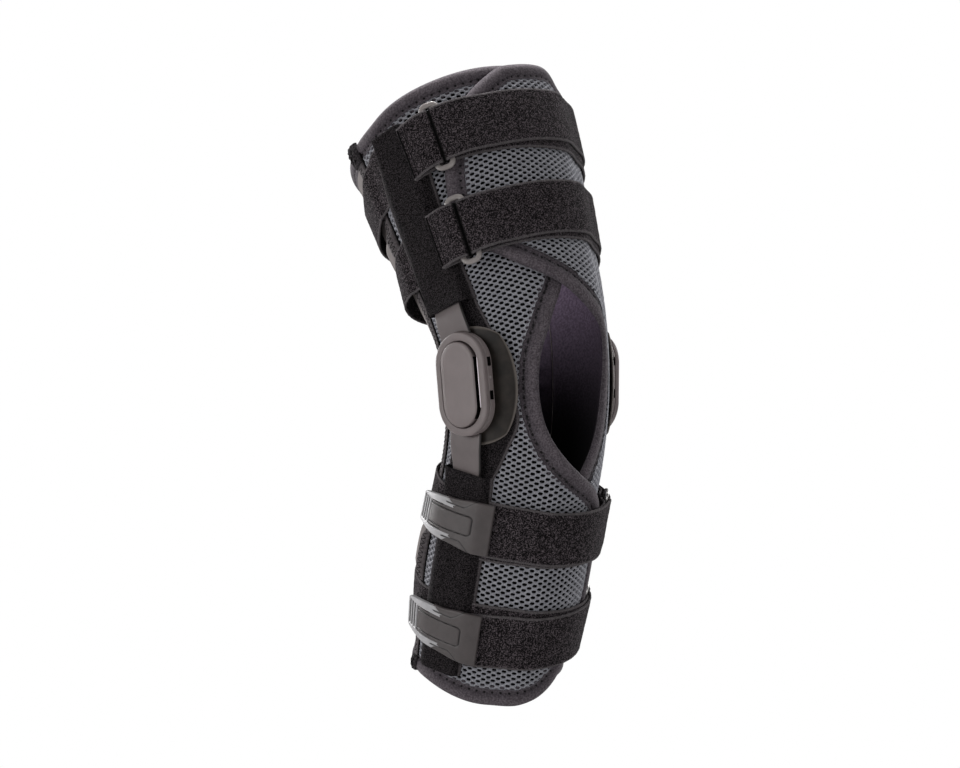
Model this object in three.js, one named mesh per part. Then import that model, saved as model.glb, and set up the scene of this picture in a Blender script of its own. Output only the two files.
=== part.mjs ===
// Wrap-round hinged knee ligament brace, shown as worn, in millimetres with +Z up.
// Origin: knee centre between the two hinges; the shin faces -Y; the outer (lateral) hinge is on -X.
// Every piece is laid on one leg form: "along" runs up the leg, "angle" runs round it from the front.
import * as THREE from 'three';

// Driving dimensions
const WALL = 3.5;
const GAP = 0.5;
const LAP = WALL + 1.2;
const THIGH_LEAN = 26;
const CALF_LEAN = -14;
const KNEE_BLEND = 64;
const SEAM_ANGLE = 107;
const MEDIAL_TURN = 13;
const EDGE_BINDING = 12;
const TOP_BINDING = 11;
const BOTTOM_BINDING = 10;
const WEBBING = 1.4;
const WEBBING_WIDTH = 38;
const POCKET = 1.3;
const POCKET_HALF = 20;
const ARM_THICKNESS = 2.4;
const ARM_HALF = 12.5;
const ARM_END_HALF = 8;
const HINGE_ALONG = -3;
const HINGE_ANGLE = 75;
const HINGE_HALF_WIDTH = 20;
const HINGE_HALF_STRAIGHT = 14;
const RING_HALF_LENGTH = 23.4;
const RING_HALF_WIDTH = 9;
const RING_BAR = 4;
const RING_THICKNESS = 2.4;
const DEG = Math.PI / 180;

// Leg form: reach to the outer and inner side, the front and the back of the spine, at heights along it
const LEG = [
  { along: -245, lateral: 47, medial: 43, front: 45, back: 50 },
  { along: -190, lateral: 49, medial: 43.5, front: 47, back: 52.5 },
  { along: -134, lateral: 52.5, medial: 45.5, front: 52.5, back: 59 },
  { along: -75, lateral: 51, medial: 48, front: 52, back: 49.5 },
  { along: 0, lateral: 51, medial: 49.5, front: 60, back: 46.5 },
  { along: 64, lateral: 58, medial: 60, front: 57.5, back: 58 },
  { along: 128, lateral: 64.5, medial: 68.5, front: 62, back: 76 },
  { along: 194, lateral: 72.5, medial: 74, front: 63.5, back: 91 },
  { along: 245, lateral: 74.5, medial: 75, front: 65, back: 95 },
];

// Free front edge of the outer wall: hidden thigh edge, knee-cap hole, then the calf overlap
const LATERAL_EDGE = [
  { along: -212, angle: 6 },
  { along: -200, angle: 14 },
  { along: -190, angle: 21 },
  { along: -180, angle: 28 },
  { along: -160, angle: 40 },
  { along: -125, angle: 47 },
  { along: -90, angle: 43.5 },
  { along: -75, angle: 38 },
  { along: -66, angle: 31 },
  { along: -57, angle: 18 },
  { along: -52, angle: 6.5 },
  { along: -47, angle: -3 },
  { along: -37, angle: -17 },
  { along: -26, angle: -26 },
  { along: -14, angle: -30.5 },
  { along: 1, angle: -30.5 },
  { along: 11, angle: -27.5 },
  { along: 20, angle: -21.5 },
  { along: 31, angle: -14 },
  { along: 43, angle: -4 },
  { along: 57, angle: 4 },
  { along: 80, angle: 8 },
  { along: 205, angle: 8 },
];

// Free front edge of the inner wall: hidden calf edge, knee-cap hole, then the thigh flap
const MEDIAL_EDGE = [
  { along: -205, angle: 2 },
  { along: -100, angle: 2 },
  { along: -66, angle: 2.5 },
  { along: -52, angle: 7 },
  { along: -43, angle: 13.5 },
  { along: -33, angle: 19 },
  { along: -18, angle: 23 },
  { along: 0, angle: 24 },
  { along: 13, angle: 23 },
  { along: 22, angle: 19 },
  { along: 29, angle: 11.5 },
  { along: 37, angle: 1.5 },
  { along: 43, angle: -6.5 },
  { along: 50, angle: -19 },
  { along: 56, angle: -29 },
  { along: 63, angle: -38.5 },
  { along: 75, angle: -49 },
  { along: 90, angle: -55.5 },
  { along: 113, angle: -57 },
  { along: 139, angle: -51 },
  { along: 160, angle: -42 },
  { along: 177, angle: -29 },
  { along: 187, angle: -15 },
  { along: 195, angle: -3 },
  { along: 205, angle: 14 },
];

// Hems, as height along the leg at each angle; the back runs from the inner to the outer seam
const HEMS = {
  lateralTop: [
    { angle: -107, along: 185 },
    { angle: -92, along: 186 },
    { angle: -73, along: 190 },
    { angle: -46, along: 194 },
    { angle: -20, along: 197 },
    { angle: 8, along: 198 },
  ],
  lateralBottom: [
    { angle: -107, along: -207 },
    { angle: -88, along: -208 },
    { angle: -66, along: -211 },
    { angle: -46, along: -213 },
    { angle: -25, along: -212 },
    { angle: -5, along: -208 },
    { angle: 8, along: -202 },
    { angle: 19, along: -193 },
    { angle: 30, along: -182 },
  ],
  medialTop: [
    { angle: -25, along: 195 },
    { angle: -3, along: 195.5 },
    { angle: 10, along: 197.5 },
    { angle: 23, along: 197 },
    { angle: 33, along: 193 },
    { angle: 43, along: 188 },
    { angle: 60, along: 184 },
    { angle: 120, along: 183 },
  ],
  medialBottom: [
    { angle: 0, along: -196 },
    { angle: 42, along: -196 },
    { angle: 120, along: -200 },
  ],
  rearTop: [
    { angle: 120, along: 183 },
    { angle: 180, along: 181 },
    { angle: 253, along: 185 },
  ],
  rearBottom: [
    { angle: 120, along: -200 },
    { angle: 180, along: -204 },
    { angle: 253, along: -207 },
  ],
};

// Centre line of the hinge arms and their pockets, as angle from the front on either side
const ARM_LINE = [
  { along: -200, angle: 75 },
  { along: -100, angle: 73.5 },
  { along: -57, angle: 75 },
  { along: -30, angle: 77 },
  { along: 0, angle: 76 },
  { along: 35, angle: 79 },
  { along: 62, angle: 81.5 },
  { along: 100, angle: 82 },
  { along: 150, angle: 80 },
  { along: 180, angle: 79 },
];

// Colours sampled by eye from the photo
const LOOKS = {
  mesh: { color: 0x4c4a4c, roughness: 0.9, metalness: 0 },
  neoprene: { color: 0x6a6461, roughness: 0.75, metalness: 0 },
  binding: { color: 0x38353a, roughness: 0.85, metalness: 0 },
  pile: { color: 0x252426, roughness: 0.97, metalness: 0 },
  shield: { color: 0x5d5750, roughness: 0.5, metalness: 0 },
  hinge: { color: 0x625d5b, roughness: 0.42, metalness: 0 },
  arm: { color: 0x5b5654, roughness: 0.45, metalness: 0 },
  ring: { color: 0x777270, roughness: 0.35, metalness: 0 },
  buckle: { color: 0x4a4a4c, roughness: 0.45, metalness: 0 },
  clip: { color: 0x8a8a8c, roughness: 0.45, metalness: 0 },
};

const brace = new THREE.Group();
brace.name = 'knee_ligament_brace';

// Angle of a feature on one side: the inner side sits a little further back than the outer one
const turned = (side, angle) => (side < 0 ? -angle : angle + MEDIAL_TURN);

const mix = (from, to, share) => from + (to - from) * share;

function ease(value) {
  const share = Math.min(1, Math.max(0, value));
  return share * share * (3 - 2 * share);
}

// Smooth curve through a table, with slopes weighed from the neighbouring rows
function follow(table, key, at, column) {
  const last = table.length - 1;
  let row = 0;
  while (row < last - 1 && at > table[row + 1][key]) row += 1;
  const chord = (i) => (table[i + 1][column] - table[i][column]) / (table[i + 1][key] - table[i][key]);
  const slope = (i) => {
    if (i === 0) return chord(0);
    if (i === last) return chord(last - 1);
    const below = table[i][key] - table[i - 1][key];
    const above = table[i + 1][key] - table[i][key];
    return (chord(i - 1) * above + chord(i) * below) / (below + above);
  };
  const span = table[row + 1][key] - table[row][key];
  const t = Math.min(1, Math.max(0, (at - table[row][key]) / span));
  const start = table[row][column];
  const end = table[row + 1][column];
  const leave = slope(row) * span;
  const arrive = slope(row + 1) * span;
  const climb = end - start;
  return start + t * (leave + t * (3 * climb - 2 * leave - arrive + t * (leave + arrive - 2 * climb)));
}

// Spine of the leg: straight calf, bent knee, straight thigh, in the plane X = 0
function spine(along) {
  const middle = (THIGH_LEAN + CALF_LEAN) / 2 * DEG;
  const bend = (THIGH_LEAN - CALF_LEAN) * DEG / (2 * KNEE_BLEND);
  const held = Math.min(KNEE_BLEND, Math.max(-KNEE_BLEND, along));
  const lean = middle + bend * held;
  const rest = along - held;
  return {
    y: (Math.cos(middle) - Math.cos(lean)) / bend + rest * Math.sin(lean),
    z: (Math.sin(lean) - Math.sin(middle)) / bend + rest * Math.cos(lean),
    lean,
  };
}

// Point of the bare leg form
function skin(along, angle) {
  const { y, z, lean } = spine(along);
  const across = Math.cos(angle * DEG);
  const reach = follow(LEG, 'along', along, across > 0 ? 'front' : 'back') * across;
  const aside = Math.sin(angle * DEG);
  const x = follow(LEG, 'along', along, aside < 0 ? 'lateral' : 'medial') * aside;
  return new THREE.Vector3(x, y - reach * Math.cos(lean), z + reach * Math.sin(lean));
}

// Right-handed axes on the form: round the leg, up it and outwards
function axesAt(along, angle) {
  const round = skin(along, angle + 0.5).sub(skin(along, angle - 0.5)).normalize();
  const up = skin(along + 0.5, angle).sub(skin(along - 0.5, angle)).normalize();
  const out = round.clone().cross(up).normalize();
  return { round, up: out.clone().cross(round), out };
}

function onLeg(along, angle, lift) {
  return skin(along, angle).addScaledVector(axesAt(along, angle).out, lift);
}

// Millimetres round the leg for one degree
function arc(along, angle) {
  return skin(along, angle + 0.5).distanceTo(skin(along, angle - 0.5));
}

// Millimetres up the leg for one step along its spine
function stretch(along, angle) {
  return skin(along + 0.5, angle).distanceTo(skin(along - 0.5, angle));
}

// Closed solid from a grid of paired points; place(a, b) gives the outer and the inner point
function slab(rows, columns, place) {
  const points = [];
  const faces = [];
  const id = (i, j, side) => ((i * (columns + 1)) + j) * 2 + side;
  for (let i = 0; i <= rows; i += 1) {
    for (let j = 0; j <= columns; j += 1) {
      for (const point of place(i / rows, j / columns)) points.push(point.x, point.y, point.z);
    }
  }
  const corner = (k) => new THREE.Vector3().fromArray(points, k * 3);
  // Each quad is split along its shorter diagonal, so slanting grids stay close to the form
  const quad = (a, b, c, d) => {
    const straight = corner(a).distanceTo(corner(c)) <= corner(b).distanceTo(corner(d));
    faces.push(...(straight ? [a, b, c, a, c, d] : [a, b, d, b, c, d]));
  };
  for (let i = 0; i < rows; i += 1) {
    for (let j = 0; j < columns; j += 1) {
      quad(id(i, j, 0), id(i, j + 1, 0), id(i + 1, j + 1, 0), id(i + 1, j, 0));
      quad(id(i, j, 1), id(i + 1, j, 1), id(i + 1, j + 1, 1), id(i, j + 1, 1));
    }
  }
  for (let j = 0; j < columns; j += 1) {
    quad(id(0, j, 0), id(0, j, 1), id(0, j + 1, 1), id(0, j + 1, 0));
    quad(id(rows, j, 0), id(rows, j + 1, 0), id(rows, j + 1, 1), id(rows, j, 1));
  }
  for (let i = 0; i < rows; i += 1) {
    quad(id(i, 0, 0), id(i + 1, 0, 0), id(i + 1, 0, 1), id(i, 0, 1));
    quad(id(i, columns, 0), id(i, columns, 1), id(i + 1, columns, 1), id(i + 1, columns, 0));
  }
  return closed(points, faces);
}

// Indexed geometry whose faces are turned to point outwards
function closed(points, faces) {
  let volume = 0;
  const corner = (k) => new THREE.Vector3().fromArray(points, faces[k] * 3);
  for (let k = 0; k < faces.length; k += 3) {
    volume += corner(k).dot(corner(k + 1).cross(corner(k + 2)));
  }
  if (volume < 0) {
    for (let k = 0; k < faces.length; k += 3) [faces[k + 1], faces[k + 2]] = [faces[k + 2], faces[k + 1]];
  }
  const geometry = new THREE.BufferGeometry();
  geometry.setAttribute('position', new THREE.Float32BufferAttribute(points, 3));
  geometry.setIndex(faces);
  geometry.computeVertexNormals();
  return geometry;
}

function add(name, geometry, look, parent = brace) {
  const mesh = new THREE.Mesh(geometry, new THREE.MeshStandardMaterial(LOOKS[look]));
  mesh.name = name;
  parent.add(mesh);
  return mesh;
}

// Soft body

// How far a wall is lifted over the other one: the inner wall on the thigh, the outer one on the calf
const overThigh = (along, angle) => (LAP + 0.6) * ease((38 - angle) / 22) * ease((along + 20) / 45);
const overCalf = (along, angle) => LAP * ease((angle + 34) / 22) * ease((-along - 12) / 30);
const flat = () => 0;

const edgeOf = (table) => (along) => follow(table, 'along', along, 'angle');
const hemOf = (table) => (angle) => follow(table, 'angle', angle, 'along');

// The free edge moved back from its line by a width measured square to the line
function inset(edge, towards, width) {
  return (along) => {
    const pitch = arc(along, edge(along));
    const slope = (edge(along + 1) - edge(along - 1)) / 2 * pitch;
    return edge(along) + towards * width / pitch * Math.sqrt(1 + slope * slope);
  };
}

// Wall patch between a seam and a free edge, and between two hems; its rows lie closest at the knee
function patch(rows, columns, { seam, edge, bottom, top, lift }) {
  return slab(rows, columns, (step, b) => {
    const a = step + 0.03 * Math.sin(2 * Math.PI * step);
    let along = mix(-200, 190, a);
    let angle = seam(along);
    for (let pass = 0; pass < 80; pass += 1) {
      angle = mix(seam(along), edge(along), b);
      along = mix(bottom(angle), top(angle), a);
    }
    const base = lift(along, angle);
    return [onLeg(along, angle, base + WALL), onLeg(along, angle, base)];
  });
}

const WALL_ROWS = 30;
const raised = (line, by) => (at) => line(at) + by;

function softWall(name, seamAngle, edge, inwards, bottom, top, lift) {
  const seam = () => seamAngle;
  const inner = inset(edge, inwards, EDGE_BINDING);
  const slit = inset(edge, inwards, EDGE_BINDING - 0.9);
  const low = raised(bottom, BOTTOM_BINDING);
  const high = raised(top, -TOP_BINDING);
  add(`${name}_panel`, patch(WALL_ROWS, 11, { seam, edge: inner, bottom: low, top: high, lift }), 'mesh');
  add(`${name}_edge_binding`, patch(WALL_ROWS, 2, { seam: slit, edge, bottom: low, top: high, lift }), 'binding');
  add(`${name}_top_binding`, patch(1, 14, { seam, edge, bottom: raised(high, GAP), top, lift }), 'binding');
  add(`${name}_bottom_binding`, patch(1, 14, { seam, edge, bottom, top: raised(low, -GAP), lift }), 'binding');
}

const lateralEdge = edgeOf(LATERAL_EDGE);
const medialEdge = edgeOf(MEDIAL_EDGE);
softWall('lateral', -SEAM_ANGLE, lateralEdge, -1, hemOf(HEMS.lateralBottom), hemOf(HEMS.lateralTop), overCalf);
softWall('medial', turned(1, SEAM_ANGLE), medialEdge, 1, hemOf(HEMS.medialBottom), hemOf(HEMS.medialTop), overThigh);

const rearStart = () => turned(1, SEAM_ANGLE) + 0.7;
const rearEnd = () => 360 - SEAM_ANGLE - 0.7;
const rearTop = hemOf(HEMS.rearTop);
const rearBottom = hemOf(HEMS.rearBottom);
const rearSides = { seam: rearStart, edge: rearEnd, lift: flat };
const rearHigh = raised(rearTop, -TOP_BINDING);
const rearLow = raised(rearBottom, BOTTOM_BINDING);
add('rear_panel', patch(13, 9, { ...rearSides, bottom: rearLow, top: rearHigh }), 'neoprene');
add('rear_top_binding', patch(1, 12, { ...rearSides, bottom: raised(rearHigh, GAP), top: rearTop }), 'binding');
add('rear_bottom_binding', patch(1, 12, { ...rearSides, bottom: rearBottom, top: raised(rearLow, -GAP) }), 'binding');

// Tape over the two rear seams, and the folded ends of the one that shows
for (const [name, side] of [['lateral', -1], ['medial', 1]]) {
  add(`${name}_seam`, slab(16, 1, (a, b) => {
    const along = mix(-196, 172, a);
    const angle = turned(side, mix(SEAM_ANGLE - 0.4, SEAM_ANGLE + 7, b));
    return [onLeg(along, angle, LAP + 1), onLeg(along, angle, LAP)];
  }), 'binding');
}
for (const [name, low, high] of [['top', 172.4, 185], ['bottom', -206, -197]]) {
  add(`lateral_seam_end_${name}`, slab(3, 3, (a, b) => {
    const along = mix(low, high, a);
    const angle = -mix(SEAM_ANGLE - 1, SEAM_ANGLE + 7, b);
    const swell = 1.6 + 1.6 * Math.sin(Math.PI * b) * Math.sin(Math.PI * (0.2 + 0.6 * a));
    return [onLeg(along, angle, LAP + swell), onLeg(along, angle, LAP)];
  }), 'binding');
}

// Hinges, arms and pockets on both sides

const armLine = (along) => follow(ARM_LINE, 'along', along, 'angle');

// Height of the under face of an arm: on the hinge plate near the knee, then down onto the wall
function armLift(along) {
  return mix(8.6, LAP, ease((Math.abs(along - HINGE_ALONG) - 37) / 26));
}

// Flat strip across the arm line: offset in millimetres towards the front
function onArm(along, side, offset, lift) {
  const angle = turned(side, armLine(along));
  const { round, out } = axesAt(along, angle);
  return skin(along, angle).addScaledVector(round, -side * offset).addScaledVector(out, lift);
}

// Half width of an arm: wide at the hinge, narrower inside its pocket
function armHalf(along) {
  return mix(ARM_HALF + 0.8, ARM_END_HALF, ease((Math.abs(along - HINGE_ALONG) - 33) / 60));
}

function arm(side, upwards, far) {
  const shift = (armLine(HINGE_ALONG + upwards * 30) - HINGE_ANGLE) * arc(0, turned(side, HINGE_ANGLE));
  const climb = stretch(HINGE_ALONG, turned(side, HINGE_ANGLE));
  return slab(9, 2, (a, b) => {
    const half = armHalf(mix(HINGE_ALONG + upwards * 33, far, a));
    const offset = mix(-half, half, b);
    const reach = HINGE_HALF_STRAIGHT + Math.sqrt((HINGE_HALF_WIDTH + 2.2) ** 2 - (offset - shift) ** 2);
    const along = mix(HINGE_ALONG + upwards * reach / climb, far, a);
    const lift = armLift(along);
    return [onArm(along, side, offset, lift + ARM_THICKNESS), onArm(along, side, offset, lift)];
  });
}

// Loop pocket: lies on the wall at its sides and stands over the flat arm between them
function pocket(side, from, to, rows, taper) {
  return slab(rows, 6, (a, b) => {
    const along = mix(from, to, a);
    const step = Math.round(b * 6) - 3;
    const narrow = step < 0 ? 1 - taper * ease((along - 130) / 46) : 1;
    const rim = POCKET_HALF * narrow;
    const crest = Math.min(armHalf(along) + 1.8, rim - 1.5);
    const offset = Math.sign(step) * [0, crest, mix(crest, rim, 0.55), rim][Math.abs(step)];
    const top = armLift(along) + ARM_THICKNESS + 0.6 + crest * crest / 110 * Math.min(1, Math.abs(step));
    const lift = [top, top, mix(top, LAP, 0.6), LAP][Math.abs(step)];
    const angle = turned(side, armLine(along) - offset / arc(along, turned(side, armLine(along))));
    return [onLeg(along, angle, lift + POCKET), onLeg(along, angle, lift)];
  });
}

// Rounded shield behind the hinge, curved with the knee
function shield(side) {
  return slab(6, 6, (a, b) => {
    const p = 2 * a - 1;
    const q = 2 * b - 1;
    const up = 38 * p * Math.sqrt(1 - 0.42 * q * q);
    const front = 29 * q * Math.sqrt(1 - 0.42 * p * p);
    const along = HINGE_ALONG + up / stretch(HINGE_ALONG, turned(side, HINGE_ANGLE));
    const angle = turned(side, HINGE_ANGLE - front / arc(along, turned(side, HINGE_ANGLE)));
    return [onLeg(along, angle, LAP + 2.9), onLeg(along, angle, LAP + 1.4)];
  });
}

// Stadium outline, optionally moved towards the front
function stadium(halfWidth, halfStraight, shift = 0) {
  const shape = new THREE.Shape();
  shape.absarc(shift, halfStraight, halfWidth, 0, Math.PI);
  shape.absarc(shift, -halfStraight, halfWidth, Math.PI, 2 * Math.PI);
  shape.closePath();
  return shape;
}

function extruded(shape, from, to, segments, bevel = 0) {
  const geometry = new THREE.ExtrudeGeometry(shape, {
    depth: to - from - 2 * bevel,
    curveSegments: segments,
    bevelEnabled: bevel > 0,
    bevelThickness: bevel,
    bevelSize: bevel,
    bevelOffset: -bevel,
    bevelSegments: 1,
  });
  return geometry.translate(0, 0, from + bevel);
}

// Group whose axes lie on the form: X round the leg, Y up it, Z outwards
function frameOn(along, angle, lift = 0) {
  const { round, up, out } = axesAt(along, angle);
  const frame = new THREE.Group();
  frame.applyMatrix4(new THREE.Matrix4().makeBasis(round, up, out).setPosition(onLeg(along, angle, lift)));
  brace.add(frame);
  return frame;
}

for (const [name, side] of [['lateral', -1], ['medial', 1]]) {
  add(`${name}_base`, slab(6, 4, (a, b) => {
    const along = mix(-59, 43, a);
    const angle = turned(side, mix(57, 96, b));
    return [onLeg(along, angle, LAP + 0.9), onLeg(along, angle, LAP)];
  }), 'pile');
  add(`${name}_shield`, shield(side), 'shield');
  add(`${name}_upper_arm`, arm(side, 1, 150), 'arm');
  add(`${name}_lower_arm`, arm(side, -1, -165), 'arm');
  add(`${name}_thigh_pocket`, pocket(side, 46, 174, 10, 0.45), 'pile');
  add(`${name}_calf_pocket`, pocket(side, -62, -195, 9, 0), 'pile');
  const hinge = frameOn(HINGE_ALONG, turned(side, HINGE_ANGLE), side < 0 ? 0 : 1.6);
  add(`${name}_housing`, extruded(stadium(HINGE_HALF_WIDTH, HINGE_HALF_STRAIGHT), 8.2, 13.4, 6, 0.8), 'hinge', hinge);
  const frame = stadium(HINGE_HALF_WIDTH, HINGE_HALF_STRAIGHT);
  frame.holes.push(stadium(15.2, 13, side * 0.3));
  add(`${name}_hinge_ring`, extruded(frame, 13.8, 17.2, 6), 'hinge', hinge);
  add(`${name}_hinge_cap`, extruded(stadium(13, 13, side * 1.2), 13.8, 18, 6, 0.9), 'hinge', hinge);
}

// Straps, rings and tabs

// Strip swept along a path of angle and lift; path(t) gives { angle, lift }, band(angle, edge) the height along
function strap(steps, path, band, thickness = WEBBING) {
  return slab(steps, 1, (a, b) => {
    const here = path(a);
    const before = path(Math.max(0, a - 0.002));
    const after = path(Math.min(1, a + 0.002));
    const along = band(here.angle, b);
    const round = (after.angle - before.angle) * (arc(along, here.angle) + here.lift * DEG);
    const rise = after.lift - before.lift;
    const length = Math.hypot(round, rise);
    const tilt = rise / length * thickness / 2;
    const turn = tilt / (arc(along, here.angle) + here.lift * DEG);
    const lift = round / length * thickness / 2;
    return [1, -1].map((face) => onLeg(along, here.angle - face * turn, here.lift + face * lift));
  });
}

// Path through rows of { angle, lift }, run at even steps of its share
function pathThrough(rows) {
  return (share) => {
    const place = share * (rows.length - 1);
    const row = Math.min(rows.length - 2, Math.floor(place));
    const t = place - row;
    return {
      angle: mix(rows[row].angle, rows[row + 1].angle, t),
      lift: mix(rows[row].lift, rows[row + 1].lift, t),
    };
  };
}

// Half turn of a strip round one bar of a ring; side is the way the strip arrives from
function turnBack(along, ringAngle, side, low, high) {
  const pitch = arc(along, ringAngle) + 11 * DEG;
  const bar = ringAngle + side * (RING_HALF_WIDTH - RING_BAR) / pitch;
  const radius = (high - low) / 2;
  return [0, 30, 60, 90, 120, 150, 180].map((turn) => ({
    angle: bar - side * Math.sin(turn * DEG) * radius * 0.75 / pitch,
    lift: (low + high) / 2 - Math.cos(turn * DEG) * radius,
  }));
}

// Top of the layers beneath a front strap
const thighBed = (angle) => LAP + overThigh(100, angle);
const calfBed = (angle) => LAP + overCalf(-100, angle);

// Front strap from an anchor to a ring and back over itself to its free end
function turnedStrap(along, ringAngle, anchor, free, bed, { low, over }) {
  const side = Math.sign(anchor - ringAngle);
  const near = ringAngle + side * 9;
  const steps = 14;
  const layer = (angle) => bed(angle) + WEBBING / 2;
  const rising = (angle) => ease((side * (angle - near)) / 20);
  const rows = [];
  for (let k = 0; k < steps; k += 1) {
    const angle = mix(anchor, near, k / (steps - 1));
    rows.push({ angle, lift: mix(low, layer(angle), rising(angle)) });
  }
  rows.push(...turnBack(along, ringAngle, side, low, over));
  for (let k = 0; k < steps; k += 1) {
    const angle = mix(near, free, k / (steps - 1));
    rows.push({ angle, lift: mix(over, layer(angle) + WEBBING + GAP, rising(angle)) });
  }
  return { steps: rows.length - 1, path: pathThrough(rows) };
}

// Folded tab from its sewn end round the other bar of the ring and back
function foldedTab(along, ringAngle, sewn, height, { low, over }) {
  const side = Math.sign(sewn - ringAngle);
  const away = ringAngle + side * 8.5;
  const rows = [{ angle: sewn, lift: height }, { angle: mix(sewn, away, 0.5), lift: mix(height, low, 0.15) }];
  rows.push({ angle: away, lift: low });
  rows.push(...turnBack(along, ringAngle, side, low, over));
  rows.push({ angle: away, lift: over });
  rows.push({ angle: sewn, lift: height + WEBBING + GAP });
  return { steps: rows.length - 1, path: pathThrough(rows) };
}

function roundedBox(halfX, halfY, radius) {
  const shape = new THREE.Shape();
  shape.absarc(halfX - radius, halfY - radius, radius, 0, Math.PI / 2);
  shape.absarc(radius - halfX, halfY - radius, radius, Math.PI / 2, Math.PI);
  shape.absarc(radius - halfX, radius - halfY, radius, Math.PI, 1.5 * Math.PI);
  shape.absarc(halfX - radius, radius - halfY, radius, 1.5 * Math.PI, 2 * Math.PI);
  shape.closePath();
  return shape;
}

function ring(name, along, angle, high) {
  const shape = roundedBox(RING_HALF_WIDTH, RING_HALF_LENGTH, 6);
  shape.holes.push(roundedBox(RING_HALF_WIDTH - RING_BAR, WEBBING_WIDTH / 2 + 1.1, 1.6));
  add(name, extruded(shape, high, high + RING_THICKNESS, 3), 'ring', frameOn(along, angle));
}

// Front straps: middle height along the leg at the ring, ring angle, where the strap starts and ends
const FRONT_STRAPS = [
  { name: 'upper_thigh', along: 155, ring: -53, anchor: 71, free: 66, sewn: -71.5, rise: 0.075, high: 13, bed: thighBed },
  { name: 'lower_thigh', along: 88, ring: -53, anchor: 71, free: 66, sewn: -71.5, rise: 0.07, high: 13, bed: thighBed },
  { name: 'upper_calf', along: -88, ring: 54, anchor: -49, free: -47.5, sewn: 82, rise: 0, high: 11.6, bed: calfBed },
  { name: 'lower_calf', along: -155, ring: 54, anchor: -48, free: -46.5, sewn: 82, rise: 0.1, high: 11, bed: calfBed },
];
for (const { name, along, ring: ringAngle, anchor, free, sewn, rise, high, bed } of FRONT_STRAPS) {
  const middle = (angle) => along + rise * (angle - ringAngle);
  const band = (angle, edge) => middle(angle) + (edge - 0.5) * WEBBING_WIDTH;
  const layers = { low: high - 1.2 - WEBBING / 2, over: high + RING_THICKNESS + 1.2 + WEBBING / 2 };
  const tape = turnedStrap(along, ringAngle, anchor, free, bed, layers);
  add(`${name}_strap`, strap(tape.steps, tape.path, band), 'pile');
  const tab = foldedTab(along, ringAngle, sewn, 12.6, layers);
  add(`${name}_tab`, strap(tab.steps, tab.path, band), 'pile');
  ring(`${name}_ring`, along, ringAngle, high);
}

// Straps round the back: middle height at the pockets and at the back, start angle, stand-off of the two edges
const REAR_STRAPS = [
  { name: 'upper_thigh', side: 147, back: 132, start: 101.5, lowEdge: 1.5, highEdge: 0 },
  { name: 'lower_thigh', side: 87, back: 74, start: 101.5, lowEdge: 4, highEdge: 0 },
  { name: 'upper_calf', side: -88, back: -84, start: 99, lowEdge: 0, highEdge: 0 },
  { name: 'lower_calf', side: -158, back: -152, start: 99, lowEdge: 0, highEdge: 1 },
];
for (const { name, side, back, start, lowEdge, highEdge } of REAR_STRAPS) {
  add(`${name}_rear_strap`, slab(14, 1, (a, b) => {
    const angle = mix(turned(1, start), 360 - start, a);
    const behind = ease((1 - Math.abs(2 * a - 1)) * 2.2);
    const along = mix(side, back, behind) + (b - 0.5) * WEBBING_WIDTH;
    const lift = LAP + 1.6 + behind * mix(lowEdge, highEdge, b);
    return [onLeg(along, angle, lift + WEBBING), onLeg(along, angle, lift)];
  }), 'pile');
}

// Buckles on the calf pockets

// Height of the under side of a buckle: arched over the pocket, lower at both ends
function buckleLift(angle) {
  const far = ease((-angle - 88) / 20);
  const near = ease((angle + 62) / 12);
  return 10.7 - 1.4 * far - 1.8 * near;
}

// Half outline of the U-shaped clip, from the middle of its ribbed end to the tip of a rail
const CLIP_OUTLINE = [
  { angle: -110, half: 0, innerAngle: -98.5, innerHalf: 0 },
  { angle: -110, half: 7, innerAngle: -98.5, innerHalf: 6 },
  { angle: -109, half: 9.6, innerAngle: -98.3, innerHalf: 9.5 },
  { angle: -101, half: 11.4, innerAngle: -96, innerHalf: 9.6 },
  { angle: -90, half: 13.4, innerAngle: -89, innerHalf: 9.6 },
  { angle: -80.5, half: 14.2, innerAngle: -80.5, innerHalf: 9.6 },
];

const BUCKLES = [
  { name: 'upper_calf', along: -90 },
  { name: 'lower_calf', along: -164 },
];
for (const { name, along } of BUCKLES) {
  const wide = [-97, -88, -79.5, -78.5, -70, -62, -56, -51];
  add(`${name}_buckle`, slab(7, 2, (a, b) => {
    const angle = wide[Math.round(a * 7)];
    const half = angle < -79 ? 9 : mix(15.5, 17.8, ease((angle + 78.5) / 20));
    const at = along + mix(-half, half, b);
    const lift = buckleLift(angle);
    return [onLeg(at, angle, lift + 3), onLeg(at, angle, lift)];
  }), 'buckle');
  add(`${name}_clip`, slab(10, 1, (a, b) => {
    const step = Math.round(a * 10) - 5;
    const row = CLIP_OUTLINE[Math.abs(step)];
    const angle = mix(row.angle, row.innerAngle, b);
    const at = along + Math.sign(step) * mix(row.half, row.innerHalf, b);
    const lift = buckleLift(angle) + 0.2;
    return [onLeg(at, angle, lift + 3), onLeg(at, angle, lift)];
  }), 'clip');
}

export default brace;
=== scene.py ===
"""Hinged wrap knee brace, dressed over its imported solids, one section for each piece in order of assembly.
Lengths are in millimetres until a mesh is made. "along" runs up the leg from the knee centre, "angle" runs
round it in degrees from the front, negative on the outer side, and "lift" stands out from the leg form."""

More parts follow.
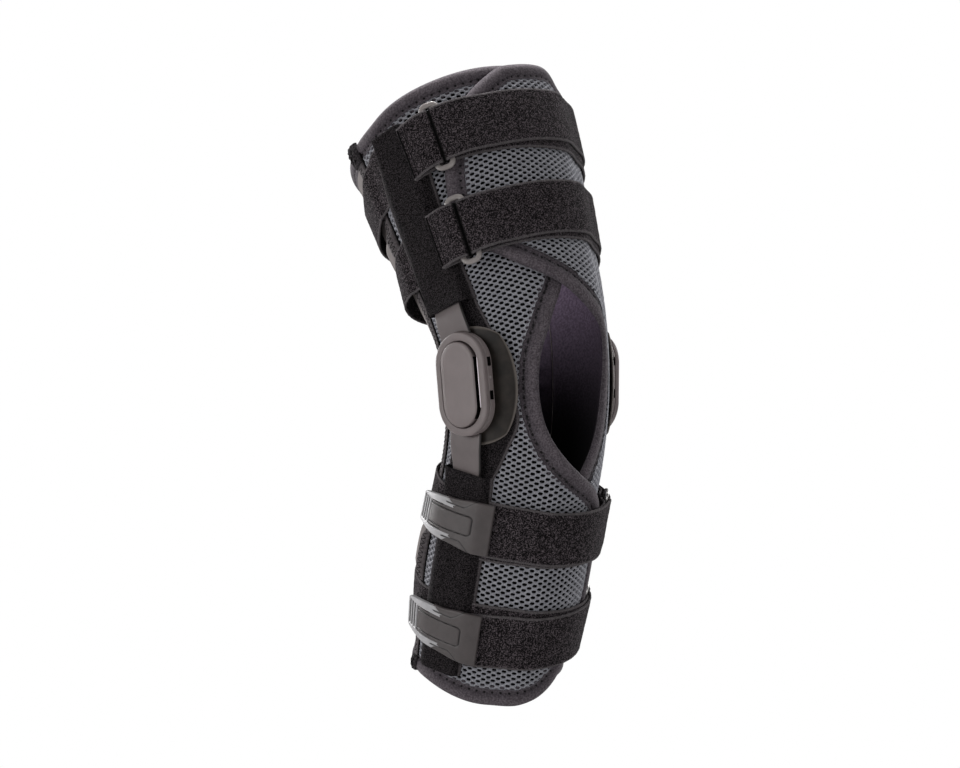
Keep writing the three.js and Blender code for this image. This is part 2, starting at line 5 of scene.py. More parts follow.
import bpy
import numpy as np
from mathutils import Matrix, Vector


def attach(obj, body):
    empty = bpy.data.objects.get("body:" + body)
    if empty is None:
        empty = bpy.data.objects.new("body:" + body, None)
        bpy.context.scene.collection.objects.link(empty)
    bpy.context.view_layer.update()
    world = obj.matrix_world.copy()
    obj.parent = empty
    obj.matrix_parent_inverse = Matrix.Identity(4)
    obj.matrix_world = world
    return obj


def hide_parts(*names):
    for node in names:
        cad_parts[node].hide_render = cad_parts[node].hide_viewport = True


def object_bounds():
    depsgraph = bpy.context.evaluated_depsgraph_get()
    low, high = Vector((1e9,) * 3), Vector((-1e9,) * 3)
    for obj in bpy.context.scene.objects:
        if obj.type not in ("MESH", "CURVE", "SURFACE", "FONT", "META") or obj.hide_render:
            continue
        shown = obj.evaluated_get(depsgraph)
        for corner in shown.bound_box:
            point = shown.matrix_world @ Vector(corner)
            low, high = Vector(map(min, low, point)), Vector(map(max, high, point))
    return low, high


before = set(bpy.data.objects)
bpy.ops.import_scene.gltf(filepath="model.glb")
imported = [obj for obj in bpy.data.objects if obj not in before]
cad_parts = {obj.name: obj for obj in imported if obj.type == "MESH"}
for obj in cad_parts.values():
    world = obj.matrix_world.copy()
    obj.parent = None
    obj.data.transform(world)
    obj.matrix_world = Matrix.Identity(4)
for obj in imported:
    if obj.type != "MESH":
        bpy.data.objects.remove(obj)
cad_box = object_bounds()

# Foam walls
# Two side walls of laminated foam, cut flat and wrapped round the leg: black knit outside, brushed
# purple-black lining inside. The inner wall laps over the outer one on the thigh, and the outer wall laps
# over the inner one on the calf.
MM = 0.001
WALL = 3.5
FOAM = WALL - 1.0
FOAM_INSET = 5
FOAM_GRID = (100, 40)
LAP = WALL + 1.2
LAP_EASE = 22
THIGH_LAP = LAP + 0.6
THIGH_LAP_ANGLE, THIGH_LAP_FROM, THIGH_LAP_RISE = 38, -20, 45
CALF_LAP_ANGLE, CALF_LAP_FROM, CALF_LAP_RISE = -34, -12, 30
SEAM_ANGLE = 107
INNER_TURN = 13
THIGH_LEAN = 26
CALF_LEAN = -14
KNEE_BLEND = 64
ROW_CROWDING = 0.03
FIRST_HEIGHTS = (-200, 190)
SETTLING_ROUNDS = 80

# Reach of the leg to the outer and inner side, the front and the back of its spine
LEG = {
    "along": [-245, -190, -134, -75, 0, 64, 128, 194, 245],
    "lateral": [47, 49, 52.5, 51, 51, 58, 64.5, 72.5, 74.5],
    "medial": [43, 43.5, 45.5, 48, 49.5, 60, 68.5, 74, 75],
    "front": [45, 47, 52.5, 52, 60, 57.5, 62, 63.5, 65],
    "back": [50, 52.5, 59, 49.5, 46.5, 58, 76, 91, 95],
}
# Free front edges as (along, angle): the knee-cap hole lies between them
LATERAL_EDGE = [
    (-212, 6), (-200, 14), (-190, 21), (-180, 28), (-160, 37), (-125, 43), (-90, 41), (-75, 37),
    (-66, 31), (-57, 18), (-52, 6.5), (-47, -3), (-37, -17), (-26, -26), (-14, -30.5), (1, -30.5),
    (11, -27.5), (20, -21.5), (31, -14), (43, -4), (57, 4), (80, 8), (205, 8),
]
MEDIAL_EDGE = [
    (-205, 2), (-100, 2), (-66, 2.5), (-52, 7), (-43, 13.5), (-33, 19), (-18, 23), (0, 24), (13, 23),
    (22, 19), (29, 11.5), (37, 1.5), (43, -6.5), (50, -19), (56, -29), (63, -38.5), (75, -49), (90, -55.5),
    (113, -57), (139, -51), (160, -42), (177, -29.5), (187, -18.5), (195, -8.5), (205, 6),
]
# Hems as (angle, along)
LATERAL_TOP = [(-107, 185), (-92, 186), (-73, 190), (-46, 194), (-20, 197), (8, 198)]
LATERAL_BOTTOM = [
    (-107, -207), (-88, -208), (-66, -211), (-46, -213), (-25, -212), (-5, -208), (8, -202), (19, -193),
    (30, -182),
]
MEDIAL_TOP = [(-25, 195), (-3, 195.5), (10, 197.5), (23, 197), (33, 193), (43, 188), (60, 184), (120, 183)]
MEDIAL_BOTTOM = [(0, -196), (42, -196), (120, -200)]


def mix(start, end, share):
    return start + (end - start) * share


def ease(value):
    """Smooth step: three squares less two cubes of the value held between 0 and 1."""
    share = np.clip(value, 0, 1)
    return share * share * (3 - 2 * share)


def follow(rows, at):
    """Smooth curve through (key, value) rows: each span is a cubic whose end slopes are the two chords next
    to a row, weighed by the opposite span. It stays level past both ends."""
    key, value = np.array(rows, float).T
    span = np.diff(key)
    chord = np.diff(value) / span
    inner = (chord[:-1] * span[1:] + chord[1:] * span[:-1]) / (span[:-1] + span[1:])
    slope = np.concatenate([chord[:1], inner, chord[-1:]])
    at = np.clip(at, key[0], key[-1])
    row = np.clip(np.searchsorted(key, at) - 1, 0, len(span) - 1)
    t = (at - key[row]) / span[row]
    climb = value[row + 1] - value[row]
    leave = slope[row] * span[row]
    arrive = slope[row + 1] * span[row]
    return value[row] + t * (leave + t * (3 * climb - 2 * leave - arrive + t * (leave + arrive - 2 * climb)))


def curve(rows):
    return lambda at: follow(rows, at)


def shifted(line, step):
    return lambda at: line(at) + step


def length_of(vectors):
    return np.linalg.norm(vectors, axis=-1, keepdims=True)


def spine(along):
    """Centre line of the leg in the plane X = 0: straight calf, an arc through the knee, straight thigh."""
    middle = np.radians((THIGH_LEAN + CALF_LEAN) / 2)
    bend = np.radians(THIGH_LEAN - CALF_LEAN) / (2 * KNEE_BLEND)
    held = np.clip(along, -KNEE_BLEND, KNEE_BLEND)
    lean = middle + bend * held
    rest = along - held
    y = (np.cos(middle) - np.cos(lean)) / bend + rest * np.sin(lean)
    z = (np.sin(lean) - np.sin(middle)) / bend + rest * np.cos(lean)
    return y, z, lean


def skin(along, angle):
    """Point of the leg form: four quarter ellipses, whose reaches follow LEG, carried square to the spine."""
    along, angle = np.broadcast_arrays(np.asarray(along, float), np.asarray(angle, float))
    y, z, lean = spine(along)
    across, aside = np.cos(np.radians(angle)), np.sin(np.radians(angle))
    reach = {side: follow(list(zip(LEG["along"], LEG[side])), along) for side in LEG if side != "along"}
    forward = np.where(across > 0, reach["front"], reach["back"]) * across
    x = np.where(aside < 0, reach["lateral"], reach["medial"]) * aside
    return np.stack([x, y - forward * np.cos(lean), z + forward * np.sin(lean)], -1)


def axes(along, angle):
    """Unit vectors round the leg, up it and out of it, then the length of a degree and of a step up."""
    around = skin(along, angle + 0.5) - skin(along, angle - 0.5)
    up = skin(along + 0.5, angle) - skin(along - 0.5, angle)
    pitch, climb = length_of(around), length_of(up)
    out = np.cross(around, up)
    out = out / length_of(out)
    around = around / pitch
    return around, np.cross(out, around), out, pitch[..., 0], climb[..., 0]


def on_leg(along, angle, lift):
    lift = np.broadcast_to(lift, np.broadcast(along, angle).shape)
    return skin(along, angle) + axes(along, angle)[2] * lift[..., None]


def arc(along, angle):
    return axes(along, angle)[3]


def over_thigh(along, angle):
    """Lift of the inner wall over the outer one, eased in round the leg and up from the knee."""
    round_leg = ease((THIGH_LAP_ANGLE - angle) / LAP_EASE)
    return THIGH_LAP * round_leg * ease((along - THIGH_LAP_FROM) / THIGH_LAP_RISE)


def over_calf(along, angle):
    """Lift of the outer wall over the inner one, eased in round the leg and down from the knee."""
    round_leg = ease((angle - CALF_LAP_ANGLE) / LAP_EASE)
    return LAP * round_leg * ease((CALF_LAP_FROM - along) / CALF_LAP_RISE)


def inset(edge, towards, width):
    """Angle of a line that keeps a width, square to the edge, inside the edge."""
    def line(along):
        pitch = arc(along, edge(along))
        slope = (edge(along + 1) - edge(along - 1)) / 2 * pitch
        return edge(along) + towards * width / pitch * np.sqrt(1 + slope * slope)
    return line


def patch(rows, columns, seam, edge, bottom, top):
    """Grid of heights and angles over a wall: columns run from the seam to the free edge and rows from hem to
    hem. Height and angle settle on each other in turn."""
    share = np.linspace(0, 1, rows)[:, None]
    share = share + ROW_CROWDING * np.sin(2 * np.pi * share)
    across = np.linspace(0, 1, columns)[None, :]
    along = mix(*FIRST_HEIGHTS, share) + 0 * across
    for _ in range(SETTLING_ROUNDS):
        angle = mix(seam, edge(along), across)
        along = mix(bottom(angle), top(angle), share)
    return along, angle


class Tone:
    """A socket in a finish's node tree. Arithmetic on it adds Math nodes."""

    def __init__(self, finish, socket):
        self.finish, self.socket = finish, socket

    def math(self, operation, *others):
        inputs = dict(enumerate((self, *others)))
        return self.finish.node("ShaderNodeMath", {"operation": operation}, inputs)

    def __add__(self, other):
        return self.math("ADD", other)

    def __sub__(self, other):
        return self.math("SUBTRACT", other)

    def __mul__(self, other):
        return self.math("MULTIPLY", other)

    def __truediv__(self, other):
        return self.math("DIVIDE", other)

    def within(self, low, high):
        """Share from 0 at low to 1 at high, held between them."""
        share = (self - low) / (high - low)
        return share.math("MAXIMUM", 0.0).math("MINIMUM", 1.0)


class Finish:
    """A material: its shader's constants, one method that adds any node, and short names for common ones."""

    def __init__(self, name, **constants):
        self.material = bpy.data.materials.new(name)
        self.material.use_nodes = True
        self.tree = self.material.node_tree
        self.shader = self.tree.nodes["Principled BSDF"]
        self.paint(**constants)
        self.place = self.node("ShaderNodeTexCoord", output="Object")

    def feed(self, socket, value):
        if isinstance(value, Tone):
            self.tree.links.new(value.socket, socket)
        elif np.ndim(value) == 1 and socket.type == "RGBA":
            socket.default_value = (*value[:3], 1.0)
        else:
            socket.default_value = value

    def node(self, kind, settings=None, inputs=None, output=0):
        made = self.tree.nodes.new(kind)
        for name, value in (settings or {}).items():
            setattr(made, name, value)
        for name, value in (inputs or {}).items():
            self.feed(made.inputs[name], value)
        return Tone(self, made.outputs[output])

    def noise(self, size, detail=2.0):
        """Soft noise whose grains measure size millimetres."""
        inputs = {"Vector": self.place, "Scale": 1 / (size * MM), "Detail": detail}
        return self.node("ShaderNodeTexNoise", inputs=inputs)

    def blend(self, share, first, second):
        inputs = {0: share, 6: first, 7: second}
        return self.node("ShaderNodeMix", {"data_type": "RGBA"}, inputs, output=2)

    def mottle(self, size, detail, dark, light, low=0.3, high=0.7):
        """Two tones in soft clouds, blended where the noise runs from low to high."""
        return self.blend(self.noise(size, detail).within(low, high), dark, light)

    def run(self, axis):
        """The piece's own coordinate: X runs along it or away from a line on it, Y across it."""
        uv = self.node("ShaderNodeUVMap", {"uv_map": "run"})
        return self.node("ShaderNodeSeparateXYZ", inputs={0: uv}, output=axis)

    def rims(self, start, full):
        """Share of both edges of a band: 0 at start and 1 at full, which are shares of its width."""
        across = self.run(1)
        both = across.within(1 - start, 1 - full) + across.within(start, full)
        return both.math("MINIMUM", 1.0)

    def height(self):
        """Height over the knee centre in metres."""
        return self.node("ShaderNodeSeparateXYZ", inputs={0: self.place}, output=2)

    def paint(self, **links):
        for socket, value in links.items():
            self.feed(self.shader.inputs[socket.replace("_", " ")], value)

    def emboss(self, height, depth, strength=1.0):
        inputs = {"Height": height, "Distance": depth * MM, "Strength": strength}
        self.paint(Normal=self.node("ShaderNodeBump", inputs=inputs))


def put(name, points, faces, finishes, nodes=(), slot=None, tint=None, uv=None, crease=None):
    """Object from points in millimetres and arrays of faces. It rides on the brace and stands for solids."""
    mesh = bpy.data.meshes.new(name)
    points = np.asarray(points, float).reshape(-1, 3)
    corners = np.concatenate([group.ravel() for group in faces]).astype(np.int32)
    sizes = np.concatenate([np.full(len(group), group.shape[1]) for group in faces])
    starts = np.concatenate([[0], np.cumsum(sizes)[:-1]]).astype(np.int32)
    mesh.vertices.add(len(points))
    mesh.vertices.foreach_set("co", (points * MM).astype(np.float32).ravel())
    mesh.loops.add(len(corners))
    mesh.loops.foreach_set("vertex_index", corners)
    mesh.polygons.add(len(sizes))
    mesh.polygons.foreach_set("loop_start", starts)
    mesh.polygons.foreach_set("use_smooth", np.ones(len(sizes), bool))
    for finish in finishes:
        mesh.materials.append(finish.material)
    if tint is not None:
        mesh.polygons.foreach_set("material_index", tint.astype(np.int32))
    if uv is not None:
        layer = mesh.uv_layers.new(name="run")
        layer.data.foreach_set("uv", np.asarray(uv, np.float32).reshape(-1, 2)[corners].ravel())
    mesh.update(calc_edges=True)
    if crease:
        mesh.set_sharp_from_angle(angle=np.radians(crease))
    piece = bpy.data.objects.new(name, mesh)
    bpy.context.scene.collection.objects.link(piece)
    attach(piece, "root")
    if nodes:
        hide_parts(*nodes)
    return piece


def outward(points, faces):
    """The same faces, turned round where they enclose a negative volume."""
    flat = np.asarray(points, float).reshape(-1, 3)
    volume = 0.0
    for group in faces:
        first = flat[group[:, 0]]
        for k in range(1, group.shape[1] - 1):
            volume += (first * np.cross(flat[group[:, k]], flat[group[:, k + 1]])).sum()
    return [group[:, ::-1] for group in faces] if volume < 0 else faces


def strip(name, top, under, finishes, uv=None, **kinds):
    """Closed strip from two grids of points: the upper face, the under face, both sides and both ends. Of two
    finishes the second one covers the under face."""
    rows, columns = top.shape[:2]
    section = np.concatenate([top, under[:, ::-1]], 1)
    loop = 2 * columns
    i, j = np.meshgrid(np.arange(rows - 1), np.arange(loop), indexing="ij")
    k = (j + 1) % loop
    side = np.stack([i * loop + j, i * loop + k, (i + 1) * loop + k, (i + 1) * loop + j], -1).reshape(-1, 4)
    h = np.arange(columns - 1)
    cap = np.stack([h, h + 1, loop - 2 - h, loop - 1 - h], 1)
    faces = np.concatenate([side, cap[:, ::-1], cap + (rows - 1) * loop])
    if len(finishes) > 1:
        underneath = ((j >= columns) & (j < loop - 1)).ravel().astype(int)
        kinds["tint"] = np.concatenate([underneath, np.zeros(2 * len(cap), int)])
    if uv is not None:
        uv = np.concatenate([uv, uv[:, ::-1]], 1)
    return put(name, section, outward(section, [faces]), finishes, uv=uv, **kinds)


def lay(name, along, angle, outer, inner, finishes, **kinds):
    """Closed strip on the leg form, between two lifts over one grid of heights and angles."""
    return strip(name, on_leg(along, angle, outer), on_leg(along, angle, inner), finishes, **kinds)


black_knit = Finish(
    "black_knit", Base_Color=(0.0015, 0.0014, 0.0015), Roughness=0.95, Specular_IOR_Level=0.02,
)
black_knit.emboss(black_knit.noise(0.5), 0.2, 0.5)

# Painted light and shade: the lining's colour is near black below the knee-cap hole, full above it, and half
# as bright near both hems
lining = Finish("brushed_lining", Roughness=0.95, Specular_IOR_Level=0.05)
lining_body = lining.mottle(1.5, 2.0, (0.08, 0.06, 0.087), (0.14, 0.106, 0.153), 0.35, 0.65)
lining_height = lining.height()
lining_knee = lining_height.within(-0.055, 0.06)
lining_top = lining_height.within(0.15, 0.08) * 0.5 + 0.5
lining_foot = lining_height.within(-0.12, -0.17) * 0.5
lining_painted_light = lining_knee * lining_knee * lining_top + lining_foot
lining.paint(Base_Color=lining.blend(lining_painted_light, (0.004, 0.0035, 0.0042), lining_body))
lining.emboss(lining.noise(0.6), 0.25, 0.6)

# Each wall, with the angles from which its net is laid out: grain line, gauge line and sweep
WALLS = {
    "lateral": {
        "seam": -SEAM_ANGLE, "edge": curve(LATERAL_EDGE), "towards": -1, "lift": over_calf,
        "bottom": curve(LATERAL_BOTTOM), "top": curve(LATERAL_TOP),
        "grain": -75, "gauge": -35, "sweep": (-116, 62, 180),
    },
    "medial": {
        "seam": SEAM_ANGLE + INNER_TURN, "edge": curve(MEDIAL_EDGE), "towards": 1, "lift": over_thigh,
        "bottom": curve(MEDIAL_BOTTOM), "top": curve(MEDIAL_TOP),
        "grain": 88, "gauge": 0, "sweep": (-66, 128, 196),
    },
}
for side, wall in WALLS.items():
    inner_line = inset(wall["edge"], wall["towards"], FOAM_INSET)
    low, high = shifted(wall["bottom"], FOAM_INSET), shifted(wall["top"], -FOAM_INSET)
    along, angle = patch(*FOAM_GRID, wall["seam"], inner_line, low, high)
    base = wall["lift"](along, angle)
    lay(f"{side}_foam", along, angle, base + FOAM, base, [black_knit, lining],
                      nodes=[f"{side}_panel"], slot="spacer_mesh")

# Spacer mesh
# A knitted grey net with oval holes, laminated over the foam of both side walls: hexagonal rows 4 mm apart,
# stood up along the leg, with rounded yarn bars between the holes. Its cut edge lies beside the border.
BORDER_STEP = 1.2
EDGE_POINTS, HEM_POINTS = 500, 160
HOLE_PITCH = 3.95
HOLE_COLUMN = 3.3
HOLE_TIP, HOLE_FLAT, HOLE_FOOT = 1.82, 1.02, 0.97
NET_CREST = WALL + 0.35
NET_RIM = WALL
NET_FOOT = FOAM + 0.02
NET_CUT = 12.2
NET_SEAM_GAP = 2.5
NET_UNEVEN = 0.05
GUIDE_STEP = 4.0

yarn = Finish("grey_net_yarn", Roughness=0.75, Specular_IOR_Level=0.25)
yarn_ply = yarn.noise(0.55, 1.0)
yarn_body = yarn.mottle(4.0, 2.0, (0.155, 0.155, 0.174), (0.205, 0.205, 0.228))
yarn.paint(Base_Color=yarn.blend(yarn_ply.within(0.38, 0.72), yarn_body, (0.34, 0.34, 0.37)))
yarn.emboss(yarn_ply, 0.25, 0.7)


def paces(path, step):
    """Length walked at each point of a path, and even steps over the whole of it."""
    walk = np.concatenate([[0], np.cumsum(length_of(np.diff(path, axis=0))[:, 0])])
    return walk, np.linspace(0, walk[-1], int(walk[-1] / step) + 1)


def even(along, angle, step, passes=14):
    """The same line on the leg form at even steps, its corners rounded by averaging neighbouring points."""
    for _ in range(2):
        walk, at = paces(skin(along, angle), step)
        along, angle = np.interp(at, walk, along), np.interp(at, walk, angle)
        for line in (along, angle):
            for _ in range(passes):
                line[1:-1] = (line[:-2] + 2 * line[1:-1] + line[2:]) / 4
    return along, angle, at


def outline(wall):
    """Free edge of a wall: from the seam along the bottom hem, up the front and back along the top hem."""
    corners = []
    for hem, along in ((wall["bottom"], np.array(-195.0)), (wall["top"], np.array(195.0))):
        for _ in range(200):
            along = mix(along, hem(wall["edge"](along)), 0.5)
        corners.append(float(along))
    rise = np.linspace(*corners, EDGE_POINTS)
    front = wall["edge"](rise)
    low = np.linspace(wall["seam"], front[0], HEM_POINTS)
    high = np.linspace(front[-1], wall["seam"], HEM_POINTS)
    along = np.concatenate([wall["bottom"](low), rise[1:-1], wall["top"](high)])
    angle = np.concatenate([low, front[1:-1], high])
    return even(along, angle, BORDER_STEP)


def nearest(points, line):
    """For each point the number of the closest point of a line and the distance to it."""
    square = (points ** 2).sum(-1)[:, None] + (line ** 2).sum(-1) - 2 * points @ line.T
    number = square.argmin(1)
    return number, np.sqrt(np.maximum(square[np.arange(len(points)), number], 1e-6))


def net(name, wall, slot):
    """Perforated net: around each hole stand three six-sided rings, the bar crest shared with the neighbours,
    the hole rim and the foot of the hole. Columns are spaced in millimetres round the leg and rows in
    millimetres up the wall's gauge line. Points too near the free edge are moved back to the cut line."""
    towards, seam = wall["towards"], wall["seam"]
    edge_along, edge_angle, _ = outline(wall)
    edge = skin(edge_along, edge_angle)
    heights = np.arange(-220.0, 212.0, GUIDE_STEP)
    angles = np.linspace(*wall["sweep"])
    climb = axes(heights, wall["gauge"] + 0 * heights)[4]
    walk = np.concatenate([[0], np.cumsum(GUIDE_STEP * (climb[1:] + climb[:-1]) / 2)])
    walk = walk - np.interp(0, heights, walk)
    lift = WALL + wall["lift"](heights[:, None], angles[None, :])
    pitch = arc(heights[:, None], angles[None, :]) + np.radians(lift)
    steps = np.diff(angles) * (pitch[:, 1:] + pitch[:, :-1]) / 2
    run = np.concatenate([np.zeros((len(heights), 1)), np.cumsum(steps, 1)], 1)
    start = np.searchsorted(angles, wall["grain"])
    run = run - run[:, start:start + 1]
    reach = np.arange(run.min(), run.max(), 1.0)
    turn = np.stack([np.interp(reach, row, angles) for row in run])

    def angle_at(along, across):
        """Angle of a point so far round the leg from the grain line, read between the rows of turn."""
        i = np.clip((along - heights[0]) / GUIDE_STEP, 0, len(heights) - 1.001)
        j = np.clip(across - reach[0], 0, len(reach) - 1.001)
        p, q = i.astype(int), j.astype(int)
        below = mix(turn[p, q], turn[p, q + 1], j - q)
        above = mix(turn[p + 1, q], turn[p + 1, q + 1], j - q)
        return mix(below, above, i - p)

    columns = np.arange(int(reach[0] / HOLE_COLUMN), int(reach[-1] / HOLE_COLUMN))
    column, row = np.meshgrid(columns, np.arange(-70, 70))
    across = (column * HOLE_COLUMN).ravel()
    height = (row * HOLE_PITCH + (column % 2) * HOLE_PITCH / 2).ravel()
    along = np.interp(height, walk, heights)
    angle = angle_at(along, across)
    margin = NET_SEAM_GAP / arc(along, angle)
    inside = (towards * (angle - wall["edge"](along)) > 0) & (towards * (angle - seam) < -margin)
    inside &= (along > wall["bottom"](angle)) & (along < wall["top"](angle))
    inside &= nearest(skin(along, angle), edge)[1] > NET_CUT - 0.8
    across, height = across[inside], height[inside]

    tip, flat, half = HOLE_COLUMN * 2 / 3, HOLE_COLUMN / 3, HOLE_PITCH / 2 * 1j
    crest = np.array([tip, flat + half, -flat + half, -tip, -flat - half, flat - half])
    quarter = HOLE_FLAT * (1 + 1j)
    mirrored = quarter.conjugate()
    rim = np.array([HOLE_TIP, quarter, -mirrored, -HOLE_TIP, -quarter, mirrored])
    rings = np.concatenate([crest, rim, HOLE_FOOT * rim])
    level_of = np.repeat([0, 1, 2], 6)
    x = across[:, None] + rings.real
    y = height[:, None] + rings.imag
    keys = np.stack([np.broadcast_to(level_of, x.shape), np.round(x * 20), np.round(y * 20)], -1).astype(int)
    _, first, corner = np.unique(keys.reshape(-1, 3), axis=0, return_index=True, return_inverse=True)
    x, y = x.ravel()[first], y.ravel()[first]
    kind = np.broadcast_to(level_of, (len(height), 18)).ravel()[first]
    uneven = np.random.default_rng(7).normal(0, NET_UNEVEN, len(first))
    stand_off = np.array([NET_CREST, NET_RIM, NET_FOOT])[kind] + np.where(kind < 2, uneven, 0)
    along = np.interp(y, walk, heights)
    angle = angle_at(along, x)
    number, away = nearest(skin(along, angle), edge)
    push = np.maximum(NET_CUT / away, 1)
    along = mix(edge_along[number], along, push)
    angle = mix(edge_angle[number], angle, push)
    points = on_leg(along, angle, stand_off + wall["lift"](along, angle))
    corner = corner.reshape(-1, 3, 6)
    ahead = np.roll(corner, -1, axis=2)
    faces = [np.stack([corner[:, k], ahead[:, k], ahead[:, k + 1], corner[:, k + 1]], -1).reshape(-1, 4)
             for k in (0, 1)]
    return put(name, points, faces, [yarn], slot=slot)


nets = {side: net(f"{side}_mesh", wall, "spacer_mesh") for side, wall in WALLS.items()}

# Back wall
# One smooth grey-brown panel of laminated foam behind the knee, between the two rear seams, with the same
# brushed lining as the side walls. It swells out between the straps and folds a little behind the knee.
REAR_TOP = [(120, 183), (180, 181), (253, 185)]
REAR_BOTTOM = [(120, -200), (180, -204), (253, -207)]
REAR_GAP = 0.7
REAR_START = SEAM_ANGLE + INNER_TURN + REAR_GAP
REAR_END = 360 - SEAM_ANGLE - REAR_GAP
REAR_GRID = (120, 60)
REAR_THICK = WALL - 0.6
# Swells between two straps as (lower end, upper end, ease, height)
SWELLS = ((96, 122, 8, 3.4), (-144, -106, 9, 3.3))
CREASE_DEPTH, CREASE_ALONG, CREASE_REACH, CREASE_PITCH = 0.9, -4, 26, 15.0

neoprene = Finish("smooth_neoprene", Roughness=0.8, Specular_IOR_Level=0.2)
neoprene.paint(Base_Color=neoprene.mottle(14.0, 3.0, (0.13, 0.114, 0.112), (0.17, 0.15, 0.147)))
neoprene.emboss(neoprene.noise(0.45), 0.12, 0.5)


def bulge(along, angle):
    """How far the back wall swells out between two straps, from its seams inwards."""
    turn = np.mod(angle, 360)
    past = np.minimum(turn - INNER_TURN, 360 - turn) - SEAM_ANGLE
    swollen = 0
    for low, high, soft, height in SWELLS:
        swollen = swollen + height * (ease((along - low) / soft) * ease((high - along) / soft))
    return swollen * ease((past + 2) / 9)


low, high = shifted(curve(REAR_BOTTOM), FOAM_INSET), shifted(curve(REAR_TOP), -FOAM_INSET)
along, angle = patch(*REAR_GRID, REAR_START, lambda along: REAR_END + 0 * along, low, high)
from_seams = np.sin(np.pi * (angle - REAR_START) / (REAR_END - REAR_START))
crease = CREASE_DEPTH * np.exp(-((along - CREASE_ALONG) / CREASE_REACH) ** 2) * from_seams
ripple = crease * np.sin(2 * np.pi * along / CREASE_PITCH) + bulge(along, angle)
rear_panel = lay("rear_wall", along, angle, REAR_THICK + ripple, ripple, [neoprene, lining],
                 nodes=["rear_panel"], slot="smooth_neoprene")

# Borders
# Every free edge is left as bare charcoal cloth about 12 mm wide, rolled over a soft edge. A row of stitches
# pulls it down beside the mesh, and each needle hole shows as a small dent. Painted shade blackens the needle
# holes and the stitch row, and a painted highlight lightens the roll.
STITCH_PITCH = 5.5
STITCH_LINE = 9.6
STITCH_PULL, STITCH_DENT = 0.3, 0.6
BORDER_ACROSS = np.array([
    14.2, 13.2, 12.3, 11.4, 10.7, 10.1, 9.6, 9.1, 8.6, 8.0, 6.8, 5.5, 4.2, 3.0, 2.0, 1.1, 0.5, 0.02,
])
BORDER_ROLL = 3.2
CROWN_WIDTH = 9.2
TUCK_DEPTH, TUCK_FROM = 0.6, 11.6

border_cloth = Finish("charcoal_border", Roughness=0.9, Specular_IOR_Level=0.15, Sheen_Weight=0.06)
needle = ((border_cloth.run(0) / STITCH_PITCH).math("FRACT") - 0.5) * STITCH_PITCH
beside = border_cloth.run(1) - STITCH_LINE
# Painted shade: near black in each needle hole and in a broken line along the stitch row, stronger near the
# knee
hole = (needle * needle + beside * beside).within(0.9, 0.45)
border_height = border_cloth.height()
by_knee = border_height.within(-0.085, -0.065) * border_height.within(0.1, 0.08) * 0.6 + 0.25
stitch_row_shade = beside.math("ABSOLUTE").within(1.7, 0.4) * border_cloth.noise(1.2, 1.0).within(0.42, 0.58) * by_knee
spot = hole.math("MAXIMUM", stitch_row_shade)
border_grain = border_cloth.noise(1.1, 2.0).within(0.36, 0.64)
# Painted highlight: the roll from the edge to about 8 mm in takes the lighter tone
border_roll_highlight = border_cloth.run(1).within(8.0, 4.0) * border_cloth.run(1).within(0.3, 2.0)
border_deep = border_cloth.blend(border_grain, (0.036, 0.03, 0.035), (0.082, 0.07, 0.08))
border_highlit = border_cloth.blend(border_grain, (0.05, 0.042, 0.048), (0.115, 0.098, 0.11))
border_body = border_cloth.blend(border_roll_highlight, border_deep, border_highlit)
border_cloth.paint(Base_Color=border_cloth.blend(spot, border_body, (0.004, 0.0035, 0.004)))
border_cloth.emboss(border_cloth.noise(0.5, 1.0), 0.18, 0.6)


def level(along, angle):
    return 0 * along


def rounded(past, most=0.985):
    """Share of full thickness on a quarter circle, so far past its start."""
    return np.sqrt(1 - np.clip(past, 0, most) ** 2)


def uv_of(x, y):
    return np.stack(np.broadcast_arrays(x, y), -1)


def border(name, along, angle, run, lift, nodes):
    """Bare edge cloth swept along a free edge, with the wall to the left of the way it runs: a low crown
    between the rolled edge and the stitch row, and a dent at every stitch."""
    around, up, out, pitch, climb = axes(along, angle)
    inward = np.cross(out, np.gradient(skin(along, angle), axis=0))
    inward = inward / length_of(inward)
    width = BORDER_ACROSS[None, :]
    at = along[:, None] + ((inward * up).sum(-1) / climb)[:, None] * width
    turn = angle[:, None] + ((inward * around).sum(-1) / pitch)[:, None] * width
    roll = rounded(1 - width / BORDER_ROLL, 0.995)
    crown = np.sin(np.pi * np.clip((width - 0.2) / CROWN_WIDTH, 0, 1)) ** 0.8
    pull = STITCH_PULL * np.exp(-((width - STITCH_LINE) / 1.2) ** 2)
    tuck = pull + TUCK_DEPTH * ease((width - TUCK_FROM) / 1.6)
    beat = np.mod(run, STITCH_PITCH)[:, None] - STITCH_PITCH / 2
    dent = STITCH_DENT * np.exp(-beat ** 2 - ((width - STITCH_LINE) / 0.7) ** 2)
    base = lift(at, turn)
    outer = WALL / 2 + (WALL / 2 - 0.15) * roll + crown - tuck - dent
    inner = WALL / 2 - (WALL / 2 + 0.12) * roll + 0 * dent
    return lay(name, at, turn, base + outer, base + inner, [border_cloth, lining],
               uv=uv_of(run[:, None], width), nodes=nodes, slot="edge_tape")


for side, wall in WALLS.items():
    along, angle, run = outline(wall)
    way = 1 if side == "lateral" else -1
    names = [f"{side}_{part}_binding" for part in ("edge", "top", "bottom")]
    border(f"{side}_border", along[::way], angle[::way], run, wall["lift"], names)
span = np.linspace(REAR_START, REAR_END, 120)
rear_low = even(follow(REAR_BOTTOM, span), span, BORDER_STEP)
rear_high = even(follow(REAR_TOP, span[::-1]), span[::-1], BORDER_STEP)
rear_bottom = border("rear_bottom_border", *rear_low, level, ["rear_bottom_binding"])
rear_top = border("rear_top_border", *rear_high, level, ["rear_top_binding"])

